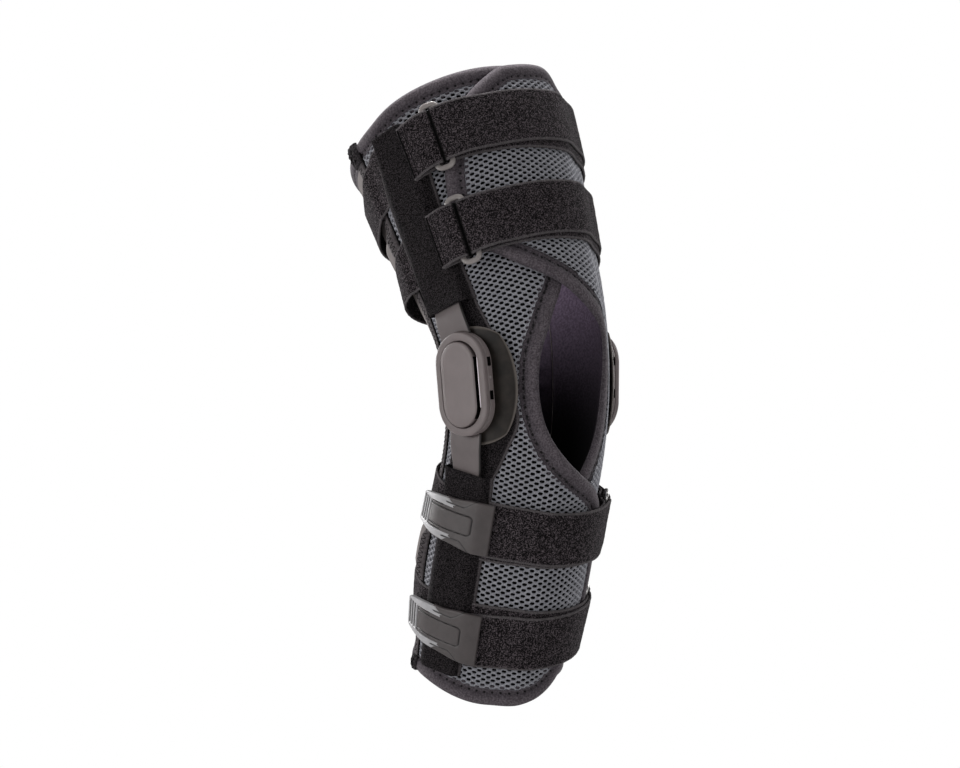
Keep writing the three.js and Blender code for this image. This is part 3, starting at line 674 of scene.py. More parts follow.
# Rear seams
# A soft tape covers the join of side wall and back wall, zigzag-stitched, with a black cord along its front
# edge. On the outer side its two ends are folded over into small stitched lumps.
SIDES = (("lateral", -1), ("medial", 1))
TAPE_FROM, TAPE_TO = -196, 172
TAPE_FRONT, TAPE_BACK = SEAM_ANGLE - 0.2, SEAM_ANGLE + 7.2
TAPE_LIFT = WALL + 0.1
ZIGZAG = 3.4
ZIGZAG_FRONT, ZIGZAG_BACK = SEAM_ANGLE + 1.2, SEAM_ANGLE + 5.8
CORD_ANGLE = SEAM_ANGLE - 1.6
CORD, ZIGZAG_THREAD, FOLD_THREAD = 0.75, 0.25, 0.3
FOLD_FRONT, FOLD_BACK = SEAM_ANGLE - 1.2, SEAM_ANGLE + 7.4
FOLD_STITCHES = (0.3, 0.52, 0.74)
# Folded ends as (name, lower end, upper end, height)
FOLDS = (("top", 171.5, 186.0, 3.2), ("bottom", -206.0, -196.5, 1.8))

tape_cloth = Finish("seam_tape", Roughness=0.9, Specular_IOR_Level=0.15, Sheen_Weight=0.06)
tape_cloth.paint(Base_Color=tape_cloth.mottle(1.4, 3.0, (0.05, 0.043, 0.045), (0.1, 0.088, 0.092)))
tape_cloth.emboss(tape_cloth.noise(0.5), 0.25, 0.7)
fold_cloth = Finish("folded_tape", Roughness=0.92, Specular_IOR_Level=0.1, Sheen_Weight=0.05)
fold_body = fold_cloth.mottle(1.2, 2.0, (0.008, 0.007, 0.008), (0.045, 0.039, 0.042), 0.35, 0.65)
fold_cloth.paint(Base_Color=fold_body)
fold_cloth.emboss(fold_cloth.noise(1.2, 2.0), 0.5, 0.7)
thread_black = Finish(
    "black_thread", Base_Color=(0.002, 0.0018, 0.002), Roughness=0.9, Specular_IOR_Level=0.1,
)
thread_black.emboss(thread_black.noise(0.3), 0.1, 0.6)


def turned(side, angle, back=INNER_TURN):
    """The same place on the outer side, or on the inner side set further back."""
    return -angle if side < 0 else angle + back


def thread(name, path, out, radius, finish, sides=6, **kinds):
    """Round cord carried along a path, its cross-section set by the path and the way out of the leg."""
    ahead = np.gradient(path, axis=0)
    across = np.cross(ahead, out)
    across = across / length_of(across)
    stand = np.cross(across, ahead)
    stand = stand / length_of(stand)
    turn = (2 * np.pi * np.arange(sides) / sides)[:, None]
    ring = path[:, None] + radius * (np.cos(turn) * across[:, None] + np.sin(turn) * stand[:, None])
    half = sides // 2
    return strip(name, ring[:, :half], ring[:, half:][:, ::-1], [finish], **kinds)


def sew(name, along, angle, lift, radius, slot, sides=6):
    """Black thread laid on the leg form along heights and angles."""
    out = axes(along, angle)[2]
    return thread(name, on_leg(along, angle, lift), out, radius, thread_black, sides=sides, slot=slot)


def pillow(across, share):
    """Height of a folded end as a share: steep at both sides, and lower at both ends."""
    return np.sin(np.pi * across) ** 0.6 * np.sin(np.pi * (0.14 + 0.72 * share)) ** 0.6


for side_name, side in SIDES:
    along = np.linspace(TAPE_FROM, TAPE_TO, 260)[:, None]
    across = np.linspace(0, 1, 11)[None, :]
    angle = turned(side, mix(TAPE_FRONT, TAPE_BACK, across)) + 0 * along
    pucker = 0.12 * np.sin(2 * np.pi * along / ZIGZAG) * np.sin(3 * np.pi * across)
    crown = 0.35 + 0.75 * np.sin(np.pi * across) ** 0.5 + pucker
    base = TAPE_LIFT + bulge(along, angle)
    lay(f"{side_name}_seam_tape", along, angle, base + crown, base - 0.5,
        [tape_cloth], nodes=[f"{side_name}_seam"], slot="edge_tape")
    rise = np.arange(TAPE_FROM + 2, TAPE_TO - 2, ZIGZAG / 6)
    wave = 2 * np.abs(np.mod(rise / ZIGZAG, 1) - 0.5)
    angle = turned(side, mix(ZIGZAG_FRONT, ZIGZAG_BACK, wave))
    lift = TAPE_LIFT + 1.05 + bulge(rise, angle)
    sew(f"{side_name}_zigzag", rise, angle, lift, ZIGZAG_THREAD, "edge_tape")
    rise = np.linspace(TAPE_FROM + 1, TAPE_TO + 6, 240)
    angle = turned(side, CORD_ANGLE) + 0 * rise
    sew(f"{side_name}_seam_cord", rise, angle, WALL + 0.35, CORD, "edge_tape", sides=8)

for end, low, high, puff in FOLDS:
    along = np.linspace(low, high, 40)[:, None]
    across = np.linspace(0, 1, 30)[None, :]
    angle = -mix(FOLD_FRONT, FOLD_BACK, across)
    share = (along - low) / (high - low)
    swell = pillow(across, share)
    ridge = 0.42 * np.sin(2 * np.pi * (across * 2.6 + 1.5 * share)) * swell
    lay(f"lateral_fold_{end}", along, angle, LAP + 0.2 + puff * swell + ridge, WALL - 0.4, [fold_cloth],
        nodes=[f"lateral_seam_end_{end}"], slot="edge_tape")
    rise = np.linspace(low + 2, high - 2, 30)
    for k, place in enumerate(FOLD_STITCHES):
        angle = -mix(FOLD_FRONT, FOLD_BACK, place) + 0.5 * np.sin(rise * 1.7)
        lift = LAP + 0.35 + puff * pillow(place, (rise - low) / (high - low))
        sew(f"lateral_fold_{end}_stitch_{k + 1}", rise, angle, lift, FOLD_THREAD, "edge_tape")

# Hinge pads
# A thin pad of black loop pile under each hinge, sewn to the wall, on which the hinge and its arms lie.
NAP_STEP = 1.15
# Distance from a fold for pieces that have none, far beyond the pile's painted fold shade
NO_FOLD = 99.0
PAD = 0.9
PAD_FRONT = [(-66, 60), (-58, 56), (-40, 49), (-25, 43.5), (-10, 47), (10, 52), (30, 57.5), (43, 61)]
PAD_BACK = 96
PAD_FROM, PAD_TO = -62, 56.1
HINGE_TURN = 18

pile = Finish(
    "black_loop_pile", Roughness=0.97, Specular_IOR_Level=0.05, Sheen_Weight=0.03, Sheen_Roughness=0.5,
)
pile_fine = pile.noise(0.76, 1.0)
pile_tuft = pile.noise(2.0, 1.0)
pile_speck = (pile_fine * 0.8 + pile_tuft * 0.2).within(0.46, 0.66)
pile_body = pile.blend(pile_speck, (0.0015, 0.0012, 0.0014), (0.1, 0.084, 0.092))
pile_felt = pile.blend(pile_fine.within(0.35, 0.65), (0.055, 0.05, 0.052), (0.1, 0.09, 0.094))
pile_cloth = pile.blend(pile.rims(0.048, 0.03), pile_body, pile_felt)
# Painted shade: the pile turns near black within about 3 mm of the fold round a ring
pile_fold_shade = pile.run(0).within(3.4, 1.8)
pile.paint(Base_Color=pile.blend(pile_fold_shade, pile_cloth, (0.001, 0.0009, 0.001)))
pile.emboss(pile_fine * 0.6 + pile_tuft * 0.4, 0.9, 0.8)

brushed = Finish(
    "black_brushed_loop", Roughness=0.97, Specular_IOR_Level=0.05, Sheen_Weight=0.02, Sheen_Roughness=0.5,
)
brushed_fine = brushed.noise(0.7, 1.0)
brushed_speck = brushed_fine.within(0.42, 0.64)
brushed_body = brushed.blend(brushed_speck, (0.0008, 0.0007, 0.0008), (0.035, 0.03, 0.0325))
brushed_felt = brushed.blend(brushed_fine.within(0.35, 0.65), (0.045, 0.04, 0.042), (0.085, 0.075, 0.079))
brushed.paint(Base_Color=brushed.blend(brushed.rims(0.045, 0.025), brushed_body, brushed_felt))
brushed.emboss(brushed_fine, 0.6, 0.7)


def nap(shape, seed, height=0.3):
    """Uneven pile height: seeded random numbers, each mixed with the mean of its neighbours into tufts."""
    rough = np.random.default_rng(seed).random(shape)
    tuft = (rough + np.roll(rough, 1, 0) + np.roll(rough, 1, 1) + np.roll(rough, (1, 1), (0, 1))) / 4
    return height * (0.5 * rough + 1.3 * (tuft - 0.5))


def across_band(count, rim):
    """Rows across a band, closer at both rounded edges: places from -1 to 1, shares of its width, and shares
    of its full thickness."""
    edge = rim * np.array([0, 0.1, 0.4])
    place = np.concatenate([-1 + edge, np.linspace(-1 + rim, 1 - rim, count), (1 - edge)[::-1]])[None, :]
    return place, (place + 1) / 2, rounded((np.abs(place) - (1 - rim)) / rim)


for side_name, side in SIDES:
    along = np.arange(PAD_FROM, PAD_TO, NAP_STEP)[:, None]
    _, width, full = across_band(34, 0.04)
    angle = turned(side, mix(follow(PAD_FRONT, along), PAD_BACK, width), HINGE_TURN)
    lift = WALL + 0.45 + PAD * full + 0.6 * nap(angle.shape, 11)
    lay(f"{side_name}_pad", along, angle, lift, WALL + 0.2, [brushed], uv=uv_of(NO_FOLD + 0 * along, width),
        nodes=[f"{side_name}_base"], slot="loop_pile")

# Shields
# A thin rounded plate of satin olive-brown plastic lies between hinge and knee, its moulded edge
# lighter in colour.
HINGE_ALONG = -3
HINGE_ANGLE = 75
SHIELD = 1.5
SHIELD_LIFT = LAP + 2.15
SHIELD_UP, SHIELD_FRONT, SHIELD_DROP = 38.5, 32, 1.5
SHIELD_ROUNDING, SHIELD_RIM = 0.42, 0.05

shield_plastic = Finish("olive_shield", Roughness=0.5, Specular_IOR_Level=0.2)
shield_dark, shield_light = (0.013, 0.0105, 0.0092), (0.026, 0.021, 0.018)
shield_body = shield_plastic.mottle(9.0, 3.0, shield_dark, shield_light, 0.36, 0.66)
# The moulded rim takes a lighter tone
shield_pale_rim = shield_plastic.run(1).within(0.94, 0.985)
shield_plastic.paint(Base_Color=shield_plastic.blend(shield_pale_rim, shield_body, (0.12, 0.105, 0.095)))
shield_plastic.emboss(shield_plastic.noise(0.6), 0.05, 0.5)

for side_name, side in SIDES:
    p = np.linspace(-1, 1, 61)[:, None]
    q, _, full = across_band(49, SHIELD_RIM)
    up = SHIELD_UP * p * np.sqrt(1 - SHIELD_ROUNDING * q * q) - SHIELD_DROP
    front = SHIELD_FRONT * q * np.sqrt(1 - SHIELD_ROUNDING * p * p)
    at = turned(side, HINGE_ANGLE, HINGE_TURN)
    along = HINGE_ALONG + up / axes(HINGE_ALONG, at)[4]
    angle = turned(side, HINGE_ANGLE - front / arc(along, at), HINGE_TURN)
    end = rounded((np.abs(p) - (1 - SHIELD_RIM)) / SHIELD_RIM)
    half = SHIELD / 2 * full * end
    lay(f"{side_name}_shield_plate", along, angle, SHIELD_LIFT + half, SHIELD_LIFT - half, [shield_plastic],
        uv=uv_of(up, np.maximum(np.abs(p), np.abs(q))), nodes=[f"{side_name}_shield"], slot="shield_plastic")

# Hinges
# Each hinge is a stadium-shaped housing with a frame on its front and a plain cap set back in the frame, all
# in satin warm grey plastic. A bright stop edge shows in the gap before the cap, and two slots and a rivet
# show in the wall.
HINGE_HALF, HINGE_STRAIGHT = 21, 13
WINDOW_HALF, WINDOW_STRAIGHT, WINDOW_BACK = 16.3, 12.4, 0.3
FACE_HALF, FACE_STRAIGHT, FACE_BACK = 14.3, 13.8, 1.7
MEDIAL_HINGE_LIFT = 0.8
SIDE_STEPS, ARC_STEPS = 44, 36
HINGE_CREASE = 50
SLOTS_UP = (13.5, -8.5)
SLOT_OUT, SLOT_DEPTH = 11.3, 1.8
SLOT_HALF_LENGTH, SLOT_HALF_WIDTH = 2.7, 1.25
STOP_FROM, STOP_TO = -16, 20
STOP_FRONT, STOP_OUT, STOP_RADIUS = 15.4, 16.4, 0.5
RIVET_UP, RIVET_OUT = 3.2, 11.1

# Profiles as (inset, height): from the foot of each part up its wall and onto its face
HOUSING = [
    (2.2, 8.2), (0.9, 8.25), (0.25, 8.6), (0, 9.2), (0, 9.7), (0, 10.1), (0, 10.4), (0, 10.7), (0, 11.1),
    (0, 11.5), (0, 11.9), (0, 12.2), (0, 12.5), (0.12, 12.95), (0.45, 13.3), (1.0, 13.45), (6.0, 13.45),
]
FRAME_OUTER = [
    (0.45, 13.62), (0.1, 13.8), (0, 14.1), (0, 15.2), (0, 16.2), (0.15, 16.7), (0.5, 17.05), (1.1, 17.2),
]
FRAME_INNER = [(-1.0, 17.22), (-0.35, 17.1), (0, 16.8), (0, 15.2), (0, 13.62)]
CAP = [
    (0, 13.55), (0, 16.4), (0.1, 17.0), (0.35, 17.5), (0.8, 17.82), (1.4, 17.95), (2.1, 17.98),
    (2.35, 18.08), (2.8, 18.14), (5.0, 18.22), (8.5, 18.3),
]
# Head of the rivet as (radius, height)
RIVET = [(1.05, 0.0), (1.0, 0.2), (0.75, 0.42), (0.35, 0.5)]

hinge_plastic = Finish("warm_grey_plastic", Roughness=0.5, Coat_Weight=0.06, Coat_Roughness=0.4)
hinge_plastic.paint(
    Base_Color=hinge_plastic.mottle(11.0, 3.0, (0.142, 0.117, 0.116), (0.163, 0.135, 0.134)),
    Roughness=hinge_plastic.noise(3.0).within(0.2, 0.8) * 0.16 + 0.42,
)
hinge_plastic.emboss(hinge_plastic.noise(0.4), 0.04, 0.6)
cap_plastic = Finish("cap_plastic", Roughness=0.45, Coat_Weight=0.06, Coat_Roughness=0.4)
cap_plastic.paint(
    Base_Color=cap_plastic.mottle(13.0, 3.0, (0.153, 0.126, 0.125), (0.174, 0.144, 0.143)),
    Roughness=cap_plastic.noise(3.0).within(0.2, 0.8) * 0.16 + 0.4,
)
cap_plastic.emboss(cap_plastic.noise(0.35), 0.035, 0.6)
# Painted shade: near black for the slots, the housing face seen through the frame and the cap's wall in the
# gap
painted_shade_black = Finish(
    "painted_shade_black", Base_Color=(0.002, 0.0018, 0.0018), Roughness=0.9, Specular_IOR_Level=0.05,
)
stop_steel = Finish("stop_edge_steel", Base_Color=(0.75, 0.68, 0.72), Metallic=0.6, Roughness=0.4)
rivet_grey = Finish("rivet_grey", Base_Color=(0.24, 0.22, 0.215), Metallic=0.3, Roughness=0.45)


def seat(along, angle, lift=0.0):
    """Puts points of a flat local frame on the leg: X round it, Y up it, Z out of it."""
    around, up, out, _, _ = axes(along, angle)
    centre = on_leg(along, angle, lift)
    return lambda points: centre + points @ np.stack([around, up, out])


def stadium(half, straight, shift=0.0):
    """Outline of two straight sides and two half circles, anticlockwise from the lower right."""
    side = np.linspace(-1, 1, SIDE_STEPS, endpoint=False)
    turn = np.linspace(0, np.pi, ARC_STEPS, endpoint=False)
    x = half * np.concatenate([0 * side + 1, np.cos(turn), 0 * side - 1, -np.cos(turn)])
    ends = half * np.sin(turn)
    y = np.concatenate([straight * side, straight + ends, -straight * side, -straight - ends])
    return np.stack([x + shift, y], -1)


def tower(profile, half, straight, shift=0.0):
    """Stack of stadium rings, one for each row of a profile."""
    rings = []
    for inward, height in profile:
        flat = stadium(half - inward, straight, shift)
        rings.append(np.concatenate([flat, np.full((len(flat), 1), height)], 1))
    return np.stack(rings)


def loft(name, rings, finishes, closed=False, tint=None, cap_tint=0, **kinds):
    """Skin over a stack of rings with the same number of points: joined to itself where closed, or else
    capped by the first and the last ring."""
    levels, count = rings.shape[:2]
    i, j = np.meshgrid(np.arange(levels if closed else levels - 1), np.arange(count), indexing="ij")
    above, k = (i + 1) % levels, (j + 1) % count
    side = np.stack([i * count + j, i * count + k, above * count + k, above * count + j], -1).reshape(-1, 4)
    round_ring = np.arange(count)[None, :]
    caps = [] if closed else [round_ring[:, ::-1], round_ring + (levels - 1) * count]
    if tint is not None:
        tint = np.concatenate([tint.ravel(), np.full(len(caps), cap_tint)])
    return put(name, rings, outward(rings, [side, *caps]), finishes, tint=tint, **kinds)


for side_name, side in SIDES:
    lift = 0 if side < 0 else MEDIAL_HINGE_LIFT
    put_on = seat(HINGE_ALONG, turned(side, HINGE_ANGLE, HINGE_TURN), lift)
    rings = tower(HOUSING, HINGE_HALF, HINGE_STRAIGHT)
    front = -side * rings[..., 0] > HINGE_HALF - 0.3
    in_slot = front & (np.abs(rings[..., 2] - SLOT_OUT) < SLOT_HALF_WIDTH)
    in_slot &= np.min([np.abs(rings[..., 1] - up) for up in SLOTS_UP], 0) < SLOT_HALF_LENGTH
    rings[..., 0] += side * SLOT_DEPTH * in_slot
    # Painted shade: the faces round the slots and the housing's face under the frame take the near black
    # finish
    corners = in_slot[:-1] | in_slot[1:]
    dark = corners | np.roll(corners, -1, 1)
    dark[-1] = True
    loft(f"{side_name}_hinge_body", put_on(rings), [hinge_plastic, painted_shade_black], tint=dark.astype(int),
         cap_tint=1, nodes=[f"{side_name}_housing"], slot="hinge_plastic", crease=HINGE_CREASE)

    outer = tower(FRAME_OUTER, HINGE_HALF, HINGE_STRAIGHT)
    inner = tower(FRAME_INNER, WINDOW_HALF, WINDOW_STRAIGHT, side * WINDOW_BACK)
    loft(f"{side_name}_hinge_frame", put_on(np.concatenate([outer, inner])), [hinge_plastic], closed=True,
         nodes=[f"{side_name}_hinge_ring"], slot="hinge_plastic", crease=HINGE_CREASE)

    rings = tower(CAP, FACE_HALF, FACE_STRAIGHT, side * FACE_BACK)
    # Painted shade: the cap's wall in the gap before the stop edge takes the near black finish
    gap = -side * rings[:-1, :, 0] > 0.55 * FACE_HALF
    gap &= (np.abs(rings[:-1, :, 1] + 3.5) < 20) & (rings[1:, :, 2] < 17.1)
    loft(f"{side_name}_hinge_face", put_on(rings), [cap_plastic, painted_shade_black], tint=gap.astype(int),
         nodes=[f"{side_name}_hinge_cap"], slot="cap_plastic", crease=HINGE_CREASE)

    up = np.linspace(STOP_FROM, STOP_TO, 40)
    edge = np.stack([-side * (STOP_FRONT + 0 * up), up, 0 * up + STOP_OUT], -1)
    out = np.broadcast_to(put_on(np.eye(3))[2] - put_on(np.zeros(3)), edge.shape)
    thread(f"{side_name}_stop_edge", put_on(edge), out, STOP_RADIUS, stop_steel, sides=8, slot="arm_metal")

    turn = np.linspace(0, 2 * np.pi, 20, endpoint=False)
    head = []
    for radius, height in RIVET:
        x = -side * (HINGE_HALF - 0.1 + height) + 0 * turn
        head.append(np.stack([x, RIVET_UP + radius * np.cos(turn), RIVET_OUT + radius * np.sin(turn)], -1))
    loft(f"{side_name}_rivet", put_on(np.stack(head)), [rivet_grey], slot="arm_metal", crease=60)

# Arms
# Flat bars, coated dark warm grey, run from the hinge down onto the wall and into the loop pockets, narrowing
# there.
ARM_LINE = [
    (-200, 75), (-100, 73.5), (-57, 75), (-30, 77), (0, 76), (35, 79), (62, 81.5), (100, 82), (150, 80),
    (180, 79),
]
ARM = 2.4
ARM_HALF, ARM_END = 13.3, 8
ARM_ON_HINGE = 8.6
# Arms as (name, up or down, far end)
ARMS = (("upper", 1, 150), ("lower", -1, -165))

arm_coat = Finish("arm_coating", Roughness=0.5, Coat_Weight=0.08, Coat_Roughness=0.35)
arm_body = arm_coat.mottle(10.0, 3.0, (0.098, 0.08, 0.08), (0.117, 0.096, 0.096))
arm_coat.paint(Base_Color=arm_coat.blend(arm_coat.rims(0.025, 0.01), arm_body, (0.02, 0.017, 0.017)))
arm_coat.emboss(arm_coat.noise(0.5), 0.05, 0.6)

arm_line = curve(ARM_LINE)


def arm_lift(along):
    """Under face of an arm: on the hinge near the knee, then down onto the wall."""
    return mix(ARM_ON_HINGE, LAP, ease((np.abs(along - HINGE_ALONG) - 37) / 26))


def arm_half(along):
    """Half the width of an arm, which narrows away from the hinge."""
    return mix(ARM_HALF, ARM_END, ease((np.abs(along - HINGE_ALONG) - 33) / 60))


for side_name, side in SIDES:
    at = turned(side, HINGE_ANGLE, HINGE_TURN)
    for arm_name, upwards, far in ARMS:
        shift = (arm_line(HINGE_ALONG + upwards * 30) - HINGE_ANGLE) * arc(0.0, at)
        climb = axes(HINGE_ALONG, at)[4]
        place, width, full = across_band(21, 0.06)
        share = np.linspace(0, 1, 90)[:, None]
        offset = arm_half(mix(HINGE_ALONG + upwards * 33, far, share)) * place
        reach = HINGE_STRAIGHT + np.sqrt((HINGE_HALF + 0.3) ** 2 - (offset - shift) ** 2)
        along = mix(HINGE_ALONG + upwards * reach / climb, far, share)
        middle_angle = turned(side, arm_line(along), HINGE_TURN)
        around, _, out, _, _ = axes(along, middle_angle)
        spot = skin(along, middle_angle) - side * around * offset[..., None]
        middle = arm_lift(along) + ARM / 2
        half = ARM / 2 * full
        top, under = (spot + out * (middle + way * half)[..., None] for way in (1, -1))
        strip(f"{side_name}_{arm_name}_bar", top, under, [arm_coat], uv=uv_of(share, width),
              nodes=[f"{side_name}_{arm_name}_arm"], slot="arm_metal")

# Loop pockets
# Wide bands of black loop pile, sewn to the wall along both edges, stand over the arms like a flat tunnel.
POCKET = 1.3
POCKET_HALF = 20
# Pockets as (name, lower end, upper end, taper of the rear edge)
POCKETS = (("thigh", 45.5, 174, 0.3), ("calf", -195, -57, 0.0))

for side_name, side in SIDES:
    for seed, (part, low, high, taper) in enumerate(POCKETS):
        along = np.arange(low, high + 0.1, NAP_STEP)[:, None]
        place, width, full = across_band(40, 0.05)
        # Both edges, as shares of the half width, draw in towards the ends of the pocket
        rear = 1 - taper * ease((along - 130) / 46) - 0.16 * ease((68 - along) / 22) * (low > 0)
        front_top = 1 - 0.38 * ease((along - 158) / 14)
        front_foot = 0.88 - 0.2 * ease((-172 - along) / 18)
        front = np.where(along > 0, front_top, front_foot)
        rim = POCKET_HALF * np.where(place < 0, rear, front)
        offset = rim * place
        crest = np.minimum(arm_half(along) + 1.8, rim - 2.5)
        roof = arm_lift(along) + ARM + 0.6 + offset ** 2 / 110
        slope = ease((rim - np.abs(offset)) / (rim - crest))
        lift = mix(WALL + 0.4, roof, slope)
        pitch = arc(along, turned(side, arm_line(along), HINGE_TURN))
        angle = turned(side, arm_line(along) - offset / pitch, HINGE_TURN)
        fuzz = nap(angle.shape, 20 + seed)
        sewn = 0.5 * np.exp(-((rim - np.abs(offset) - 2.2) / 0.8) ** 2)
        lay(f"{side_name}_{part}_sleeve", along, angle, lift + POCKET * full + fuzz - sewn, lift, [brushed],
            uv=uv_of(NO_FOLD + 0 * along, width), nodes=[f"{side_name}_{part}_pocket"], slot="loop_pile")

# Straps round the back
# Loop webbing 38 mm wide comes from under the rear edge of each pocket and crosses the back wall, standing a
# little off it at one edge. The two thigh straps are gathered there.
WEBBING = 1.4
WEBBING_WIDTH = 38
WEBBING_NAP = 0.22
WEBBING_ROW = (32, 0.035)
REAR_STRAPS = {
    "upper_thigh": {"side": 151.5, "back": 135.5, "start": 92, "off": 1.2, "low": 1.8, "gather": 0.76},
    "lower_thigh": {"side": 88.5, "back": 83.5, "start": 93, "off": 1.0, "low": 5, "gather": 0.68},
    "upper_calf": {"side": -91, "back": -87, "start": 86, "off": -0.4, "low": 0, "gather": 1.0},
    "lower_calf": {"side": -163, "back": -161, "start": 86, "off": -0.4, "low": 0, "gather": 1.0},
}
UNDER_POCKET = 9.5

for seed, (name, strap) in enumerate(REAR_STRAPS.items()):
    first, last = turned(1, strap["start"], HINGE_TURN), 360 - strap["start"]
    rows = int((last - first) * arc(strap["back"], 180.0) / NAP_STEP)
    share = np.linspace(0, 1, rows)[:, None]
    _, width, full = across_band(*WEBBING_ROW)
    inwards = 1 - np.abs(2 * share - 1)
    behind = ease(inwards * 2.2)
    gather = mix(1, strap["gather"], behind)
    along = mix(strap["side"], strap["back"], behind) + (width - 0.5) * WEBBING_WIDTH * gather
    angle = mix(first, last, share)
    free = ease((inwards * (last - first) / 2 - UNDER_POCKET) / 8)
    middle = mix(WALL - 0.4, LAP + strap["off"], free) + behind * strap["low"] * (1 - width) + WEBBING / 2
    fuzz = nap(along.shape, 30 + seed, WEBBING_NAP)
    piece = lay(f"{name}_back_band", along, angle, middle + WEBBING / 2 * full + fuzz,
                middle - WEBBING / 2 * full, [pile], uv=uv_of(NO_FOLD + 0 * share, width),
                nodes=[f"{name}_rear_strap"], slot="loop_pile")

# Front straps, tabs and rings
# Loop webbing crosses the front, turns back round one bar of a flat ring and lies down on itself. A folded,
# sewn tab holds the other bar. The thigh rings are smooth taupe plastic, the calf rings plain steel.
RING_LENGTH, RING_WIDTH, RING = 24.0, 7.6, 2.4
RING_BAR, RING_END, RING_CORNER = 4, 1.65, 4.0
RING_SLACK = 1.2
FRONT_STRAPS = {
    "upper_thigh": {"along": 152, "ring": -50.6, "anchor": 71, "free": 66, "sewn": -69, "rise": 0.075,
                    "under": -0.02, "tab": 0.16, "high": 13, "drop": (9, 20)},
    "lower_thigh": {"along": 86, "ring": -52.8, "anchor": 71, "free": 66, "sewn": -70.5, "rise": 0.07,
                    "under": 0.0, "tab": 0.0, "high": 13, "drop": (9, 20)},
    "upper_calf": {"along": -90, "ring": 54, "anchor": -56, "free": -55, "sewn": 82, "rise": 0.0,
                   "under": 0.03, "tab": 0.0, "high": 9, "drop": (4, 9)},
    "lower_calf": {"along": -156, "ring": 54, "anchor": -56, "free": -55, "sewn": 82, "rise": 0.1,
                   "under": 0.04, "tab": 0.1, "high": 7, "drop": (4, 9)},
}
WAY_POINTS = 16
STRAP_TRIM, TRIM_REACH = 9.0, 12
TAB_HEIGHT, TAB_BEND = 11.8, 8.5
TAB_TOP = TAB_HEIGHT + WEBBING + 0.3
# Rows of stitches on a tab as (degrees from the sewn end, radius), the first also a painted shadow line
TAB_STITCHES = ((0.6, 0.7), (3.4, 0.3))

ring_plastic = Finish("taupe_ring", Roughness=0.32, Coat_Weight=0.2, Coat_Roughness=0.2)
ring_plastic.paint(Base_Color=ring_plastic.mottle(4.0, 3.0, (0.2, 0.18, 0.174), (0.25, 0.225, 0.218)))
ring_plastic.emboss(ring_plastic.noise(0.8), 0.04, 0.4)
ring_steel = Finish("plain_steel", Metallic=1.0, Roughness=0.3)
ring_steel.paint(
    Base_Color=ring_steel.mottle(2.0, 3.0, (0.4, 0.39, 0.385), (0.52, 0.51, 0.5)),
    Roughness=ring_steel.noise(2.0, 3.0).within(0.2, 0.8) * 0.2 + 0.22,
)


def half_turn(along, ring_angle, side, low, high):
    """Angles and lifts of a half circle round one bar of a ring, starting on the under side."""
    pitch = arc(float(along), float(ring_angle)) + np.radians(11)
    bar = ring_angle + side * (RING_WIDTH - RING_BAR) / pitch
    turn = np.radians(np.arange(0, 181, 30))
    radius = (high - low) / 2
    return bar - side * np.sin(turn) * radius * 0.96 / pitch, (low + high) / 2 - np.cos(turn) * radius


def turned_back(strap, bed, low, over):
    """Rows of angle, lift and rise: from the anchor over the bed to the ring, round its bar, and back over
    the first layer, which runs at a slope of its own so that one of its edges shows."""
    side = np.sign(strap["anchor"] - strap["ring"])
    near = strap["ring"] + side * strap["drop"][0]
    out_way = np.linspace(strap["anchor"], near, WAY_POINTS)
    back_way = np.linspace(near, strap["free"], WAY_POINTS)
    rising = lambda angle: ease(side * (angle - near) / strap["drop"][1])
    first = mix(low, bed(out_way) + WEBBING / 2, rising(out_way))
    second = mix(over, bed(back_way) + WEBBING * 1.5 + 0.5, rising(back_way))
    bend, stand = half_turn(strap["along"], strap["ring"], side, low, over)
    turning = np.linspace(strap["under"], strap["rise"], len(bend))
    rise = np.concatenate([np.full(WAY_POINTS, strap["under"]), turning, np.full(WAY_POINTS, strap["rise"])])
    return np.concatenate([out_way, bend, back_way]), np.concatenate([first, stand, second]), rise


def folded_tab(strap, low, over):
    """Rows of angle, lift and rise: from the sewn end to the ring, round its bar and back to the sewn end."""
    side = np.sign(strap["sewn"] - strap["ring"])
    away = strap["ring"] + side * TAB_BEND
    bend, stand = half_turn(strap["along"], strap["ring"], side, low, over)
    sewn = strap["sewn"]
    angle = np.concatenate([[sewn, mix(sewn, away, 0.5), away], bend, [away, sewn]])
    lift = np.concatenate([[TAB_HEIGHT, mix(TAB_HEIGHT, low, 0.15), low], stand, [over, TAB_TOP]])
    return angle, lift, np.full(len(angle), strap["tab"])


def webbing(name, rows, strap, seed, trim, **kinds):
    """Strap carried along rows of angle and lift, smoothed and run at even steps: its two faces stand half a
    thickness off the line, square to it, and both carry pile. Trim cuts the lower corner at the fold."""
    index = np.arange(len(rows[0]), dtype=float)
    fine = np.linspace(0, index[-1], 40 * len(index))
    angle, lift, slope = (follow(np.stack([index, row], 1), fine) for row in rows)
    middle = strap["along"] + slope * (angle - strap["ring"])
    walk, at = paces(on_leg(middle, angle, lift), NAP_STEP)
    angle, lift, middle = (np.interp(at, walk, line) for line in (angle, lift, middle))
    pitch = arc(middle, angle) + np.radians(lift)
    sweep, rise = np.gradient(angle) * pitch, np.gradient(lift)
    size = np.hypot(sweep, rise)
    _, width, full = across_band(*WEBBING_ROW)
    along = middle[:, None] + (width - 0.5) * WEBBING_WIDTH + (1 - width) * trim(angle)[:, None]
    faces = []
    for face in (1, -1):
        half = WEBBING / 2 * full + nap(along.shape, seed + face, WEBBING_NAP)
        shift = face * half * (rise / size / pitch)[:, None]
        stand = lift[:, None] + face * half * (sweep / size)[:, None]
        faces.append(on_leg(along, angle[:, None] - shift, stand))
    # Distance along the strap from its fold round the ring, which sets the pile's painted fold shade
    fold = at[np.argmin(np.abs(angle - strap["ring"]))]
    return strip(name, *faces, [pile], uv=uv_of(np.abs(at - fold)[:, None], width), **kinds)


